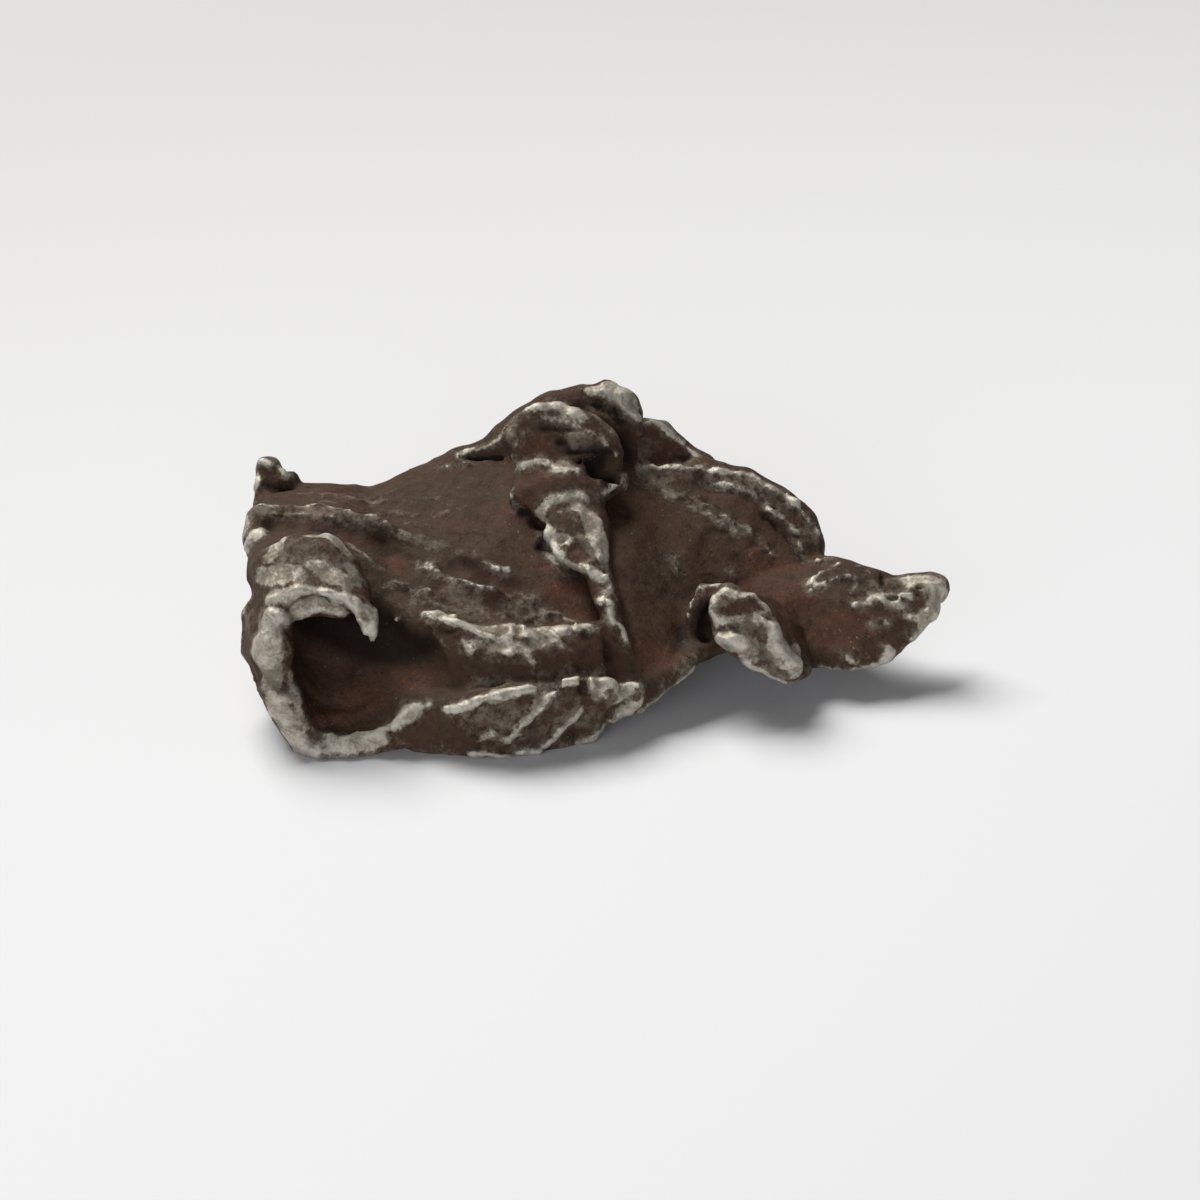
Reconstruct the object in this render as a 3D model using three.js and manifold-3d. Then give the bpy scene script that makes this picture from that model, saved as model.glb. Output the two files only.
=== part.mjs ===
// An iron meteorite fragment: one torn, twisted piece of nickel iron about 36 mm long.
//
// It is sculpted from beads, as a potter builds a form from rolls and slabs of clay. A bead is
// [x, y, z, radius]. A bar is a row of beads with the gaps between them filled, a sheet is a
// plate stretched over several rows, and a fan is a plate stretched from a middle bead to a ring.
// Each feature is blended into the metal that is already there, or carved out of it, in the
// order it is written here, and the finished form is faceted into one closed surface.
//
// Millimetres. +Z is up, +X points from the curled end to the pointed tail, and the scooped
// front looks to -Y. The origin is under the middle of the fragment, at the level it rests on.

import * as THREE from 'three';
import { mergeVertices } from 'three/addons/utils/BufferGeometryUtils.js';
import Module from 'manifold-3d';

const LENGTH = 36; // curled end to tail tip
const DEPTH = 18.6; // scooped front to torn back
const HEIGHT = 13; // resting level to the top of the knob
const SUNK = 1.5; // metal shaped below the resting level, which the trim removes
const FACET = 0.68; // size of the facets
const EASING = [0.6, -0.5, 0.6, -0.5]; // shares of the way to its neighbours that a point moves
const MARGIN = 1.4; // room left around the metal while it is being shaped
const SLAB = 4; // thickness of the slab that trims the underside flat where it touches

const features = [];

function add(blend, ...parts) {
  features.push({ carved: false, blend, parts: parts.flat() });
}

function carve(blend, ...parts) {
  features.push({ carved: true, blend, parts: parts.flat() });
}

// A part is the metal between two or three beads: a tapered rod or a rounded triangular plate.
function part(...beads) {
  const points = beads.map(([x, y, z]) => new THREE.Vector3(x, y, z));
  const radii = beads.map((bead) => bead[3]);
  const bounds = new THREE.Sphere().setFromPoints(points);
  bounds.radius += Math.max(...radii);
  const core = points.length === 2 ? new THREE.Line3(...points) : new THREE.Triangle(...points);
  return { core, radii, bounds };
}

// Beads round an oval, given its middle and the arms to its right side and to its top.
function ring(middle, right, top, radius, count) {
  return Array.from({ length: count }, (_, n) => {
    const turn = 2 * Math.PI * n / count;
    const spot = middle.map((m, axis) => m + Math.cos(turn) * right[axis] + Math.sin(turn) * top[axis]);
    return [...spot, radius];
  });
}

function bar(...beads) {
  return beads.slice(1).map((bead, i) => part(beads[i], bead));
}

function fan(middle, ...ring) {
  return ring.map((bead, i) => part(middle, bead, ring[(i + 1) % ring.length]));
}

function sheet(...rows) {
  const parts = [];
  for (let r = 1; r < rows.length; r++) {
    const near = rows[r - 1];
    const far = rows[r];
    let i = 0;
    let j = 0;
    while (i < near.length - 1 || j < far.length - 1) {
      const nearNext = (i + 1) / (near.length - 1);
      const farNext = (j + 1) / (far.length - 1);
      if (nearNext <= farNext) {
        parts.push(part(near[i], near[i + 1], far[j]));
        i++;
      } else {
        parts.push(part(near[i], far[j + 1], far[j]));
        j++;
      }
    }
  }
  return parts;
}

// The thick middle of the fragment, from the scooped front to the back.
add(1.0, sheet(
  [[-14, -5, 2, 1.5], [-14, -1, 3.75, 2], [-14, 3, 4.5, 1.75]],
  [[-10, -5.5, 1.75, 1.5], [-10, -1.5, 3.25, 2.5], [-10, 3.5, 4.25, 2.5]],
  [[-6, -6, 1.75, 1.5], [-6, -2, 3.25, 2.5], [-6, 4, 4.75, 2.5]],
  [[-1.75, -5.75, 2, 1.5], [-1.75, -1.5, 3, 2.5], [-1.75, 4.5, 5.25, 2.75]],
  [[2, -4.5, 2, 1], [2.25, -0.75, 2.25, 1.5], [2.5, 4.5, 4.5, 2]],
  [[4.75, -2.5, 2.5, 0.75], [5.5, 1, 2.5, 1], [6, 4.5, 4, 1.5]],
));

// Two lumps under the back edge, which it rests on.
add(1.0,
  bar([-13, 2.5, 2.5, 1.25], [-9.75, 4.75, 1, 1.5], [-6.25, 4.5, 2.5, 1.5]),
  bar([-0.25, 4.25, 3, 1.5], [3.5, 5.25, 1, 1.5], [6.75, 4, 2.75, 1]),
);

// The sloping upper face left of the crest.
add(0.8, sheet(
  [[-16.5, 4.75, 6.75, 1], [-17, 1.5, 7, 1], [-16, -2.5, 7, 1.25]],
  [[-14, 5.75, 6.75, 1], [-13.5, 1.75, 7.25, 1.25], [-13, -1.5, 6.5, 1.25]],
  [[-11.75, 5.75, 6.5, 1], [-11.25, 2, 6.5, 1.25], [-10.25, -2.75, 5.25, 1]],
  [[-7.5, 6.25, 8, 1.25], [-7.75, 0.75, 6.75, 1.25], [-8.25, -4.5, 5, 1]],
  [[-5, 6.75, 8.5, 1.25], [-5, -0.5, 6.5, 1.25], [-4.75, -5.25, 4.25, 1]],
  [[-3, 6.75, 8.5, 1.5], [-2.75, -1.75, 5.5, 1.25], [-1.75, -4.75, 4, 1]],
  [[-0.5, 5.5, 8, 1.25], [-0.5, -1.75, 4.5, 1.25], [0.5, -4, 3, 1]],
));

// The dished face right of the crest, running out into the flat tail.
const tailRoot = [[11.25, 3.5, 3.75, 1], [10.5, 0.25, 3.75, 1], [10.25, -1.75, 2, 0.75]];
add(0.8,
  sheet(
    [[0.25, 6, 7.75, 1.25], [0.5, 2.5, 6.5, 1.25], [1.25, -0.5, 5.75, 1.25], [2, -3.5, 3.75, 1],
      [1.75, -5.75, 2, 0.75]],
    [[1.75, 7.25, 7.25, 1.25], [2.5, 3.25, 6.25, 1.25], [3, -0.5, 4.5, 1.25],
      [3.5, -3.25, 3, 1], [3.5, -5.25, 2.5, 0.5]],
    [[5, 7.5, 7, 1.25], [5.5, 3.75, 5.75, 1.25], [5.25, 1, 4.5, 1], [5, -1.25, 3, 1],
      [5.5, -3.75, 3.25, 0.5]],
    [[8, 6.75, 6.5, 1.25], [8.5, 4.25, 5, 1.25], [8, 1.5, 3.75, 1], [7.75, -0.5, 3, 1]],
    [[10.75, 5.75, 4.75, 1], ...tailRoot],
  ),
  sheet(
    tailRoot,
    [[13, 1.5, 4.5, 1], [13, -0.5, 3.5, 1], [12.75, -2.25, 2, 0.75]],
    [[15.25, 0.75, 4.25, 0.75], [15.5, -0.5, 3.5, 1], [14.75, -1.75, 2.25, 0.75]],
    [[17.5, 0.5, 4.5, 0.75], [16.75, -0.5, 3.75, 0.75]],
  ),
);

// The back, from its torn upper rim to halfway down.
const backRim = [
  [-15.25, 5.75, 6.25, 1], [-11.25, 6, 6, 1.25], [-7.5, 6.5, 7, 1.25], [-2.75, 7.25, 8.25, 1.5],
  [1.5, 7.75, 7.5, 1.25], [5.5, 7.75, 7, 1], [9.5, 6.75, 5.5, 1],
];
add(1.0, sheet(
  backRim,
  [[-14.25, 4.25, 4, 1.25], [-10.5, 5.25, 3.5, 1.5], [-6.75, 5, 4.5, 1.75], [-2.75, 5.75, 4.75, 1.75],
    [1.25, 6.25, 4.5, 1.5], [5.25, 5.75, 4.5, 1.5], [9, 5.25, 4.25, 1]],
));

// The low front flank, which stands on the ground along its lower edge.
const flankTop = [
  [-9.5, -8, 0.75, 0.5], [-7.25, -8.25, 2.25, 0.75], [-4.75, -8.5, 3, 0.75],
  [-2.5, -8, 3, 0.75], [-1, -7.5, 3, 0.75], [0.5, -7, 2.25, 0.75], [2, -6.25, 2, 0.5],
];
add(0.6, sheet(
  flankTop,
  [[-8.75, -8.25, 0.5, 0.5], [-6.25, -8.25, 0, 0.75], [-4.25, -8.25, 0, 0.75],
    [-2.5, -7.75, 0, 0.75], [-0.75, -7, 0, 0.75], [0.5, -6.25, 1, 0.5], [2, -6, 1.5, 0.5]],
  [[-8.75, -6, 1.5, 1], [-4.75, -6.25, 1.5, 1], [-0.75, -5.5, 1.5, 1], [2.25, -4.5, 2.25, 0.75]],
));

// The long trough between the flank and the upper face, deepest under the curled end.
carve(0.6, bar(
  [-13.25, -4, 4.25, 1.75], [-13, -7.5, 4.25, 2.25], [-10, -7.75, 4.5, 2], [-7, -8, 5, 1.5],
  [-4.5, -7.75, 5.25, 1.25], [-1.75, -7.25, 5, 1.25], [0.75, -6, 4.5, 1],
));

// Thumb-sized hollows in the back, the underside and the left end.
carve(1.0,
  bar([-13, 9.5, 5.25, 2.5], [-8.5, 10, 5.25, 3]),
  bar([-2, 11.25, 5.5, 3.25], [1.5, 11.25, 5.5, 3.5]),
  bar([6.25, 10, 5.5, 3], [8.5, 9, 4.75, 2.5]),
  bar([-6.5, 7.5, 0.25, 1.5], [-2, 8.75, 1, 2]),
);
carve(1.0,
  bar([-9.25, -1, -2.5, 2.75], [-5.75, 0.25, -1.75, 2.75]),
  bar([-0.75, 0.75, -1.75, 2.5], [2, 2.5, -1.5, 2.5]),
  bar([-2.25, -3.75, -1.5, 1.75], [0.75, -2.75, -1.25, 1.5]),
);
carve(0.8, bar([2.5, -4.5, -0.75, 1.5], [5.5, -2.5, -0.25, 1.75], [8, -0.75, 0, 1.75]));
carve(0.8, bar([-18, -1.5, 2.75, 1.5], [-18, 1.5, 4.25, 2]));

// The floor of the trough, rising to the back and to the right.
add(0.5, sheet(
  [[-14.5, -8.25, 1, 0.5], [-15, -6.5, 1, 0.75], [-15, -3.75, 2.5, 1]],
  [[-13, -8.25, 0, 0.5], [-13, -6.25, 1, 0.75], [-13.25, -4.25, 2.25, 1],
    [-13.25, -2.5, 4.25, 1.25]],
  [[-10.5, -8.25, 0.75, 0.5], [-10.5, -6.5, 1.5, 0.75], [-10.25, -4.5, 2.75, 1],
    [-10.25, -3.25, 3.5, 1]],
  [[-8.25, -7.5, 2.25, 0.75], [-8.25, -6.25, 2, 0.75], [-7.75, -4.75, 3, 1]],
  [[-5.75, -7.5, 2.25, 0.75], [-4.75, -6, 3, 1]],
  [[-2, -6.75, 2.5, 0.75], [-1.5, -5.5, 2.75, 0.75]],
  [[0.5, -5.5, 2.5, 0.75], [1, -4.5, 2.75, 0.75]],
));

// The curled end: an upright wall at the far left, with lumps down its front edge.
const wallEdge = [
  [-15.5, -5.25, 7, 0.75], [-15.75, -6.25, 6, 0.75], [-15.75, -7, 5, 1], [-15.75, -7.25, 4, 0.75],
  [-15.5, -7.5, 3, 1], [-15, -8, 2, 1], [-14.25, -8.25, 0.5, 0.75],
];
add(0.6, sheet(
  wallEdge,
  [[-16.25, -2.5, 7.25, 1], [-16.5, -3.5, 5.5, 1], [-16.5, -4.25, 3.75, 1.25],
    [-15.75, -5, 2, 1.25], [-15, -5.5, 1, 1.25], [-14, -6.25, 0, 1]],
  [[-15.5, -1, 6.25, 1.25], [-15.5, -1.5, 5, 1.5], [-15.5, -2.5, 3, 1.5],
    [-15, -3.25, 1.5, 1.5], [-14.25, -4, 0.5, 1.25]],
));

// The hook: the top of the wall rolls over to the right in two folds, one under the other, and
// ends in a downward point.
const hookTip = [-11.5, -6, 6.75, 0.5];
const hookEdge = [
  [-15.5, -5.25, 7, 0.75], [-14.5, -5.5, 7.5, 0.75], [-13.5, -5.75, 7.5, 0.5],
  [-12.25, -6, 7.25, 0.5], hookTip,
];
const hookTop = [
  [-16, -3.5, 7.75, 1], [-14.75, -3.5, 8.25, 1.25], [-13.5, -3.5, 8.25, 1.25],
  [-12.5, -4, 7.75, 1], [-11.75, -4.5, 7, 0.75],
];
const hookPoint = [
  hookTip, [-11, -6, 6.5, 0.5], [-11, -6.5, 6, 0.5], [-11, -6.5, 5.5, 0.5],
];
const innerFold = [
  [-15.25, -5.25, 6, 0.5], [-14.5, -5.5, 6.5, 0.5], [-13.5, -5.5, 6.75, 0.5],
  [-12.5, -5.5, 6.5, 0.5],
];
add(0.45, sheet(hookEdge, hookTop), bar(...hookPoint));
add(0.2, bar(...innerFold));

// The lip in front of the trough, under the hook.
const lip = [
  [-14.25, -8.25, 0.5, 0.75], [-13.5, -8.5, 0.25, 0.75], [-12.25, -8.5, 0.25, 0.75],
  [-11, -8.5, 0.5, 0.5], [-10.25, -8.5, 0.75, 0.5], [-9, -8.25, 1.25, 0.5],
];
add(0.4, bar(...lip));

// The crest steps down to the front: a broad step under the knob, a narrow one, then a ridge.
add(0.25,
  sheet(
    [[-3.5, 3, 9.5, 0.75], [-3.5, 2, 9, 0.75], [-2.75, 1.5, 8.5, 0.75]],
    [[-2, 3.5, 9.5, 1.25], [-1.5, 2.5, 9.5, 1], [-1.5, 2, 9, 1]],
    [[0, 3.5, 9.5, 1.25], [0, 2.75, 9.5, 1], [0, 2.25, 9.25, 0.75]],
    [[0.75, 4, 9.5, 0.75], [1, 3.25, 9.25, 0.75]],
  ),
  bar([-3, 2.5, 5.5, 1.5], [-1, 2.75, 5.75, 1.75], [0.75, 3.25, 5.5, 1.5]),
);
add(0.25, sheet(
  [[-2.25, 1.5, 8.75, 0.5], [-2, 0.75, 8.25, 0.75], [-2, 0, 7.75, 0.5]],
  [[-1, 1.75, 8.75, 0.75], [-1, 0.5, 8, 1], [-1, -0.5, 7.5, 0.75]],
  [[-0.25, 1.75, 8.5, 0.75], [-0.25, 0.75, 7.75, 1], [0, -1.25, 7, 0.75]],
));
const crestEdge = [
  [-2, 0, 7.75, 0.5], [-1.25, -1, 7.25, 0.5], [-0.25, -2, 7, 0.5], [0.25, -3, 6.25, 0.5],
  [0.75, -3.75, 5.75, 0.5], [1, -4.5, 4.75, 0.5], [1.5, -5, 3.75, 0.5],
];
const crestSide = [
  [-0.5, 0.25, 7.5, 0.75], [0, -0.5, 7, 0.75], [0.5, -1.5, 6.25, 0.5], [1, -2.5, 5.25, 0.5],
  [1.25, -3.25, 4.5, 0.5], [1.75, -4.25, 2.75, 0.5],
];
add(0.25, sheet(crestEdge, crestSide));

// The groove under the left side of the crest.
carve(0.4, bar([-2.75, -1.5, 8.25, 0.5], [-2, -3, 7.5, 0.5], [-1, -4.25, 6.75, 0.75],
  [0, -5.25, 5.75, 0.5]));

// The knob: a blunt oval disc that leans to the front, tied into the ridge behind it.
const discRim = ring([-1.6, 4, 10.9], [2.4, 0, -0.45], [0, 0.8, 1.2], 0.7, 12);
add(0.25,
  fan([-1.75, 4.25, 11, 1], ...discRim),
  fan([-1.5, 7.25, 10.25, 1], ...discRim),
);
carve(0.25, bar([-0.25, 2.75, 10.75, 0.25], [0, 2.5, 10.25, 0.5], [0.5, 2.75, 9.75, 0.5]));

// The ridge behind the knob, ending in a hooked point at the right.
const rearRidge = [
  [-7.25, 6.5, 9, 0.5], [-6.25, 6.5, 9.25, 0.5], [-4.75, 6.75, 9.75, 1], [-3.25, 7.25, 10.75, 1],
  [-2, 7.25, 11.5, 1], [-0.5, 7.5, 11.75, 1], [0.5, 7.5, 12.25, 0.75], [1.5, 7.25, 11.75, 0.75],
  [2, 7, 11.25, 0.5], [2, 6.75, 10.5, 0.5],
];
add(0.4,
  bar(...rearRidge),
  sheet(
    [[-4.75, 6.5, 9.5, 1], [-3, 7.25, 10.25, 1.25], [-0.25, 7.25, 11, 1.25], [1, 7, 10.75, 1]],
    [[-4, 6.5, 8.5, 1.25], [-2, 6.75, 8.5, 1.5], [0, 6.5, 9, 1.25], [1.5, 6.5, 8.5, 1]],
  ),
);

// A thin fin standing up behind the dished face, and that face's own thick rim.
const finEdge = [
  [2.5, 8.25, 10, 0.5], [3.5, 8.5, 9.75, 0.5], [4.75, 8.25, 8.5, 0.5], [5.75, 8, 8, 0.5],
];
const dishRim = [
  [1.75, 6.75, 8, 0.5], [3.5, 7, 7.75, 0.75], [5.5, 7, 7.75, 0.75], [7.75, 6.75, 7.25, 1],
  [9.5, 6.25, 6.5, 1], [10.75, 5.5, 5.75, 1], [11.25, 4.5, 5, 0.75],
];
add(0.3, sheet(
  finEdge,
  [[2, 7.75, 8.25, 1], [3.5, 8, 7.5, 1], [4.5, 8, 7.25, 0.75], [5.5, 7.75, 7.25, 0.75]],
));
add(0.4, bar(...dishRim));

// The horn at the far back left corner, with a rib running from it along the back edge.
const horn = [[-17.25, 6.75, 8.25, 0.75], [-17, 6.5, 7.5, 1], [-17, 6, 7, 1], [-17, 5, 6.5, 1]];
add(0.3,
  bar(...horn),
  bar([-17, 6.5, 7.5, 0.75], [-16, 6.5, 7.75, 0.5], [-15.75, 6.25, 7.25, 0.5],
    [-14, 6, 7.25, 0.5], [-12, 5.5, 7, 0.5]),
);

// A fold that starts at the left edge and dies away across the upper face.
const fold = [
  [-17, -0.5, 7.25, 0.5], [-17.25, 0.5, 7.5, 0.75], [-17, 1.5, 8, 0.75], [-15.75, 1.5, 8, 0.5],
  [-13.5, 1.5, 8, 0.5], [-11.75, 1, 8, 0.5], [-10, 0.5, 7.5, 0.5], [-8, -0.5, 7, 0.5],
  [-6, -1.5, 6.5, 0.5],
];
add(0.3, bar(...fold));

// The recess under that fold, behind the hook.
carve(0.5, bar(
  [-15.5, -0.5, 9, 0.5], [-13.5, -0.5, 9.25, 0.5], [-11.5, -1, 8.5, 0.75], [-9.75, -2, 8, 1],
  [-9.25, -4, 7, 1],
));

// A broad torn ridge along the foot of the upper face, over the trough.
const ridgeTop = [
  [-8.25, -5.5, 5.75, 0.25], [-7.25, -5.5, 5.75, 0.25], [-6.25, -5.75, 5.25, 0.5],
  [-4.75, -5.75, 5.25, 0.5], [-3, -5.75, 5, 0.5], [-1.5, -5.25, 5, 0.5], [0, -4.75, 4.75, 0.5],
];
const ridgeFace = [
  [-7.5, -6, 5, 0.25], [-6.25, -6.5, 4.5, 0.5], [-4.75, -6.75, 4.25, 0.5], [-3, -6.75, 4.25, 0.5],
  [-1.5, -6.25, 4.25, 0.5], [0, -5.5, 4, 0.5],
];
add(0.5, sheet(
  [[-8.5, -4.5, 5, 0.75], [-6.5, -5, 5, 0.75], [-4.75, -5.25, 4.5, 0.75],
    [-3, -5.25, 4.25, 0.75], [-1.25, -5, 4.25, 0.75], [0.25, -4.25, 4, 0.75]],
  ridgeTop,
  ridgeFace,
  [[-6.25, -6.5, 3, 0.5], [-5.5, -7, 2.75, 0.5], [-4.25, -7, 3, 0.5], [-3, -7, 3, 0.5],
    [-1.25, -6.5, 3, 0.5], [0.25, -6, 3, 0.5]],
));

// The leaf: a bent flap that hangs in front of the tail.
const leafTop = [
  [6.75, -3, 6, 0.5], [7.5, -3.5, 5.75, 0.5], [8.5, -3.75, 5, 0.5], [9, -4.25, 4, 0.5],
  [9.5, -4.75, 3, 0.5],
];
const leafFoot = [
  [6.25, -3.5, 5.5, 0.5], [6.25, -4.25, 4.25, 0.5], [7.25, -4.75, 3.75, 0.5], [8.5, -5, 3, 0.5],
  [9.5, -5, 2.5, 0.5],
];
const leafRoot = [
  [7, -1.5, 4.5, 0.75], [8.5, -1.5, 4, 1], [9.75, -2, 3.25, 0.75], [10.5, -2.75, 2, 0.5],
];
add(0.25,
  sheet(leafTop, leafFoot),
  sheet(
    leafFoot,
    [[6.5, -2.75, 4.25, 0.5], [7.75, -3, 3.25, 0.75], [9.25, -3.5, 2.5, 0.5], [10.5, -3.5, 2, 0.5]],
    leafRoot,
  ),
  sheet(leafTop, leafRoot),
  bar([7, -2.75, 4.5, 0.75], [8.25, -3, 4, 1], [9.5, -3.75, 3, 0.75]),
);

// The gap between the leaf's free edge and the tail behind it.
carve(0.3, bar([8, -3, 6.25, 0.25], [9.5, -3.25, 5.25, 0.5], [10.5, -3.75, 4, 0.5],
  [11, -4, 3, 0.25]));

// A thin upright fold between the dished face and the leaf, and the metal that joins them below.
const upright = [[5.5, -2, 5.5, 0.5], [5, -2.5, 4.5, 0.5], [4.75, -3.25, 3.25, 0.5]];
add(0.25,
  sheet(upright, [[6, -1, 4.25, 0.75], [5.75, -1.5, 3.5, 0.75], [5.25, -2.5, 2.75, 0.5]]),
  bar(upright[0], [6.75, -2.75, 5.75, 0.5]),
);
add(0.5, sheet(
  [[4, -3, 2.5, 0.75], [5.25, -2.5, 2.75, 0.75], [6.5, -2.25, 3, 0.75]],
  [[4.75, -0.5, 2.25, 1], [6, -0.5, 2.75, 1], [7, -0.5, 3, 0.75]],
));

// Folds on the back and on the left end.
const backFolds = [
  [[-6.25, 6.75, 2.25, 1], [-4.25, 7.5, 3.75, 0.75], [-2.25, 8.25, 5.5, 0.75],
    [-1, 8.5, 7.5, 0.75]],
  [[5.75, 6.5, 2.5, 0.75], [4.75, 7.75, 4.25, 0.75], [4.75, 8.25, 6, 0.75], [3.25, 8.25, 7.5, 0.5]],
  [[-12.25, 6, 2.5, 1], [-14.25, 6, 4, 0.75], [-15.75, 5.25, 5.5, 0.75]],
];
const leftFold = [
  [-16, 2.5, 6, 0.75], [-16.25, 0.25, 5, 0.75], [-16, -1.5, 3.5, 1], [-15.25, -3.75, 1.5, 1],
];
add(0.4, ...backFolds.map((beads) => bar(...beads)), bar(...leftFold));

// How far a point is outside a part's surface (negative inside).
const nearest = new THREE.Vector3();
const weights = new THREE.Vector3();
function outside(point, { core, radii }) {
  if (radii.length === 2) {
    const along = core.closestPointToPointParameter(point, true);
    core.at(along, nearest);
    return point.distanceTo(nearest) - THREE.MathUtils.lerp(radii[0], radii[1], along);
  }
  core.closestPointToPoint(point, nearest);
  core.getBarycoord(nearest, weights);
  const radius = radii[0] * weights.x + radii[1] * weights.y + radii[2] * weights.z;
  return point.distanceTo(nearest) - radius;
}

// The smaller of two distances, with the crease between them rounded off over the blend width.
function blended(a, b, blend) {
  const overlap = Math.max(blend - Math.abs(a - b), 0) / blend;
  return Math.min(a, b) - overlap * overlap * blend / 4;
}

// How far a point is outside the finished form (negative inside), up to the margin.
function formAt(point) {
  let form = MARGIN;
  for (const { carved, blend, parts } of features) {
    let closest = Infinity;
    for (const piece of parts) {
      if (piece.bounds.distanceToPoint(point) < MARGIN + blend) {
        closest = Math.min(closest, outside(point, piece));
      }
    }
    if (closest < Infinity) {
      form = carved ? -blended(-form, closest, blend) : blended(form, closest, blend);
    }
  }
  return form;
}

// Grid of sample points around the form.
const counts = [LENGTH, DEPTH, HEIGHT + SUNK].map(
  (size) => Math.ceil((size + 2 * MARGIN) / FACET) + 1,
);
const corner = new THREE.Vector3(
  -(counts[0] - 1) * FACET / 2,
  -(counts[1] - 1) * FACET / 2,
  -SUNK - MARGIN,
);
const strides = [counts[1] * counts[2], counts[2], 1];
const samples = new Float64Array(counts[0] * counts[1] * counts[2]);
const at = new THREE.Vector3();

function gridPoint(index, target) {
  const i = Math.floor(index / strides[0]);
  const j = Math.floor((index % strides[0]) / strides[1]);
  const k = index % strides[1];
  return target.set(i, j, k).multiplyScalar(FACET).add(corner);
}

for (let index = 0; index < samples.length; index++) {
  samples[index] = formAt(gridPoint(index, at));
}

// A grid cell has 8 corners, numbered by the bits x = 4, y = 2 and z = 1, and 12 edges.
const cornerOffset = (c) => (c >> 2 & 1) * strides[0] + (c >> 1 & 1) * strides[1] + (c & 1);
const cellEdges = [];
for (let a = 0; a < 8; a++) {
  for (const bit of [4, 2, 1]) {
    if (!(a & bit)) {
      cellEdges.push([a, a | bit]);
    }
  }
}
const cellFaces = [];
for (const bit of [4, 2, 1]) {
  const [u, v] = [4, 2, 1].filter((other) => other !== bit);
  for (const side of [0, bit]) {
    cellFaces.push([side, side | u, side | u | v, side | v]);
  }
}

function edgeBetween(a, b) {
  return cellEdges.findIndex(([p, q]) => (p === a && q === b) || (p === b && q === a));
}

// Where the surface passes through a cell, the cell's crossed edges are gathered into patches,
// and each patch gets one point of the surface.
const positions = [];
const patchPoint = new Map();
const edgeKey = (cell, edge) => cell * 12 + edge;

function placePatches(cell) {
  const inside = (c) => samples[cell + cornerOffset(c)] < 0;
  const crossed = cellEdges.map(([a, b]) => inside(a) !== inside(b));
  if (!crossed.includes(true)) {
    return;
  }
  const patch = cellEdges.map((_, edge) => edge);
  const root = (edge) => (patch[edge] === edge ? edge : root(patch[edge]));
  const join = (a, b) => {
    patch[root(a)] = root(b);
  };
  for (const face of cellFaces) {
    const edges = face.map((c, n) => edgeBetween(c, face[(n + 1) % 4]));
    const cut = edges.filter((edge) => crossed[edge]);
    if (cut.length === 2) {
      join(cut[0], cut[1]);
    } else if (cut.length === 4) {
      face.forEach((c, n) => {
        if (inside(c)) {
          join(edges[n], edges[(n + 3) % 4]);
        }
      });
    }
  }
  const sums = new Map();
  const start = new THREE.Vector3();
  const end = new THREE.Vector3();
  cellEdges.forEach(([a, b], edge) => {
    if (!crossed[edge]) {
      return;
    }
    const from = cell + cornerOffset(a);
    const to = cell + cornerOffset(b);
    gridPoint(from, start);
    gridPoint(to, end);
    start.lerp(end, samples[from] / (samples[from] - samples[to]));
    const sum = sums.get(root(edge)) ?? { total: new THREE.Vector3(), count: 0, edges: [] };
    sum.total.add(start);
    sum.count++;
    sum.edges.push(edge);
    sums.set(root(edge), sum);
  });
  for (const { total, count, edges } of sums.values()) {
    for (const edge of edges) {
      patchPoint.set(edgeKey(cell, edge), positions.length / 3);
    }
    positions.push(...total.divideScalar(count).toArray());
  }
}

for (let i = 0; i < counts[0] - 1; i++) {
  for (let j = 0; j < counts[1] - 1; j++) {
    for (let k = 0; k < counts[2] - 1; k++) {
      placePatches(i * strides[0] + j * strides[1] + k);
    }
  }
}

// Each crossed grid edge is surrounded by four cells, whose points make a facet of two triangles.
const triangles = [];
const bits = [4, 2, 1];
const pointOf = (index) => new THREE.Vector3().fromArray(positions, index * 3);

function placeFacet(index, axis) {
  const [b, c] = [(axis + 1) % 3, (axis + 2) % 3];
  const starts = samples[index] < 0;
  if (starts === samples[index + strides[axis]] < 0) {
    return;
  }
  const ring = [[1, 1], [0, 1], [0, 0], [1, 0]].map(([db, dc]) => {
    const cell = index - db * strides[b] - dc * strides[c];
    const low = (db ? bits[b] : 0) | (dc ? bits[c] : 0);
    return patchPoint.get(edgeKey(cell, edgeBetween(low, low | bits[axis])));
  });
  if (!starts) {
    ring.reverse();
  }
  const [p, q, r, s] = ring.map(pointOf);
  const split = p.distanceTo(r) <= q.distanceTo(s) ? [0, 1, 2, 0, 2, 3] : [1, 2, 3, 1, 3, 0];
  triangles.push(...split.map((n) => ring[n]));
}

for (let i = 1; i < counts[0] - 1; i++) {
  for (let j = 1; j < counts[1] - 1; j++) {
    for (let k = 1; k < counts[2] - 1; k++) {
      for (let axis = 0; axis < 3; axis++) {
        placeFacet(i * strides[0] + j * strides[1] + k, axis);
      }
    }
  }
}

// The steps that the grid leaves are eased: each point moves towards the middle of its
// neighbours, then part of the way back, so that the form doesn't shrink.
for (const share of EASING) {
  const sums = Array.from(
    { length: positions.length / 3 },
    () => ({ total: new THREE.Vector3(), count: 0 }),
  );
  for (let t = 0; t < triangles.length; t += 3) {
    for (let n = 0; n < 3; n++) {
      const sum = sums[triangles[t + n]];
      sum.total.add(pointOf(triangles[t + (n + 1) % 3]));
      sum.count++;
    }
  }
  sums.forEach(({ total, count }, index) => {
    pointOf(index).lerp(total.divideScalar(count), share).toArray(positions, index * 3);
  });
}

// The underside is trimmed flat where it touches the ground.
const wasm = await Module();
wasm.setup();

function solidOf(vertProperties, triVerts) {
  return new wasm.Manifold(new wasm.Mesh({ numProp: 3, vertProperties, triVerts }));
}

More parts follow.
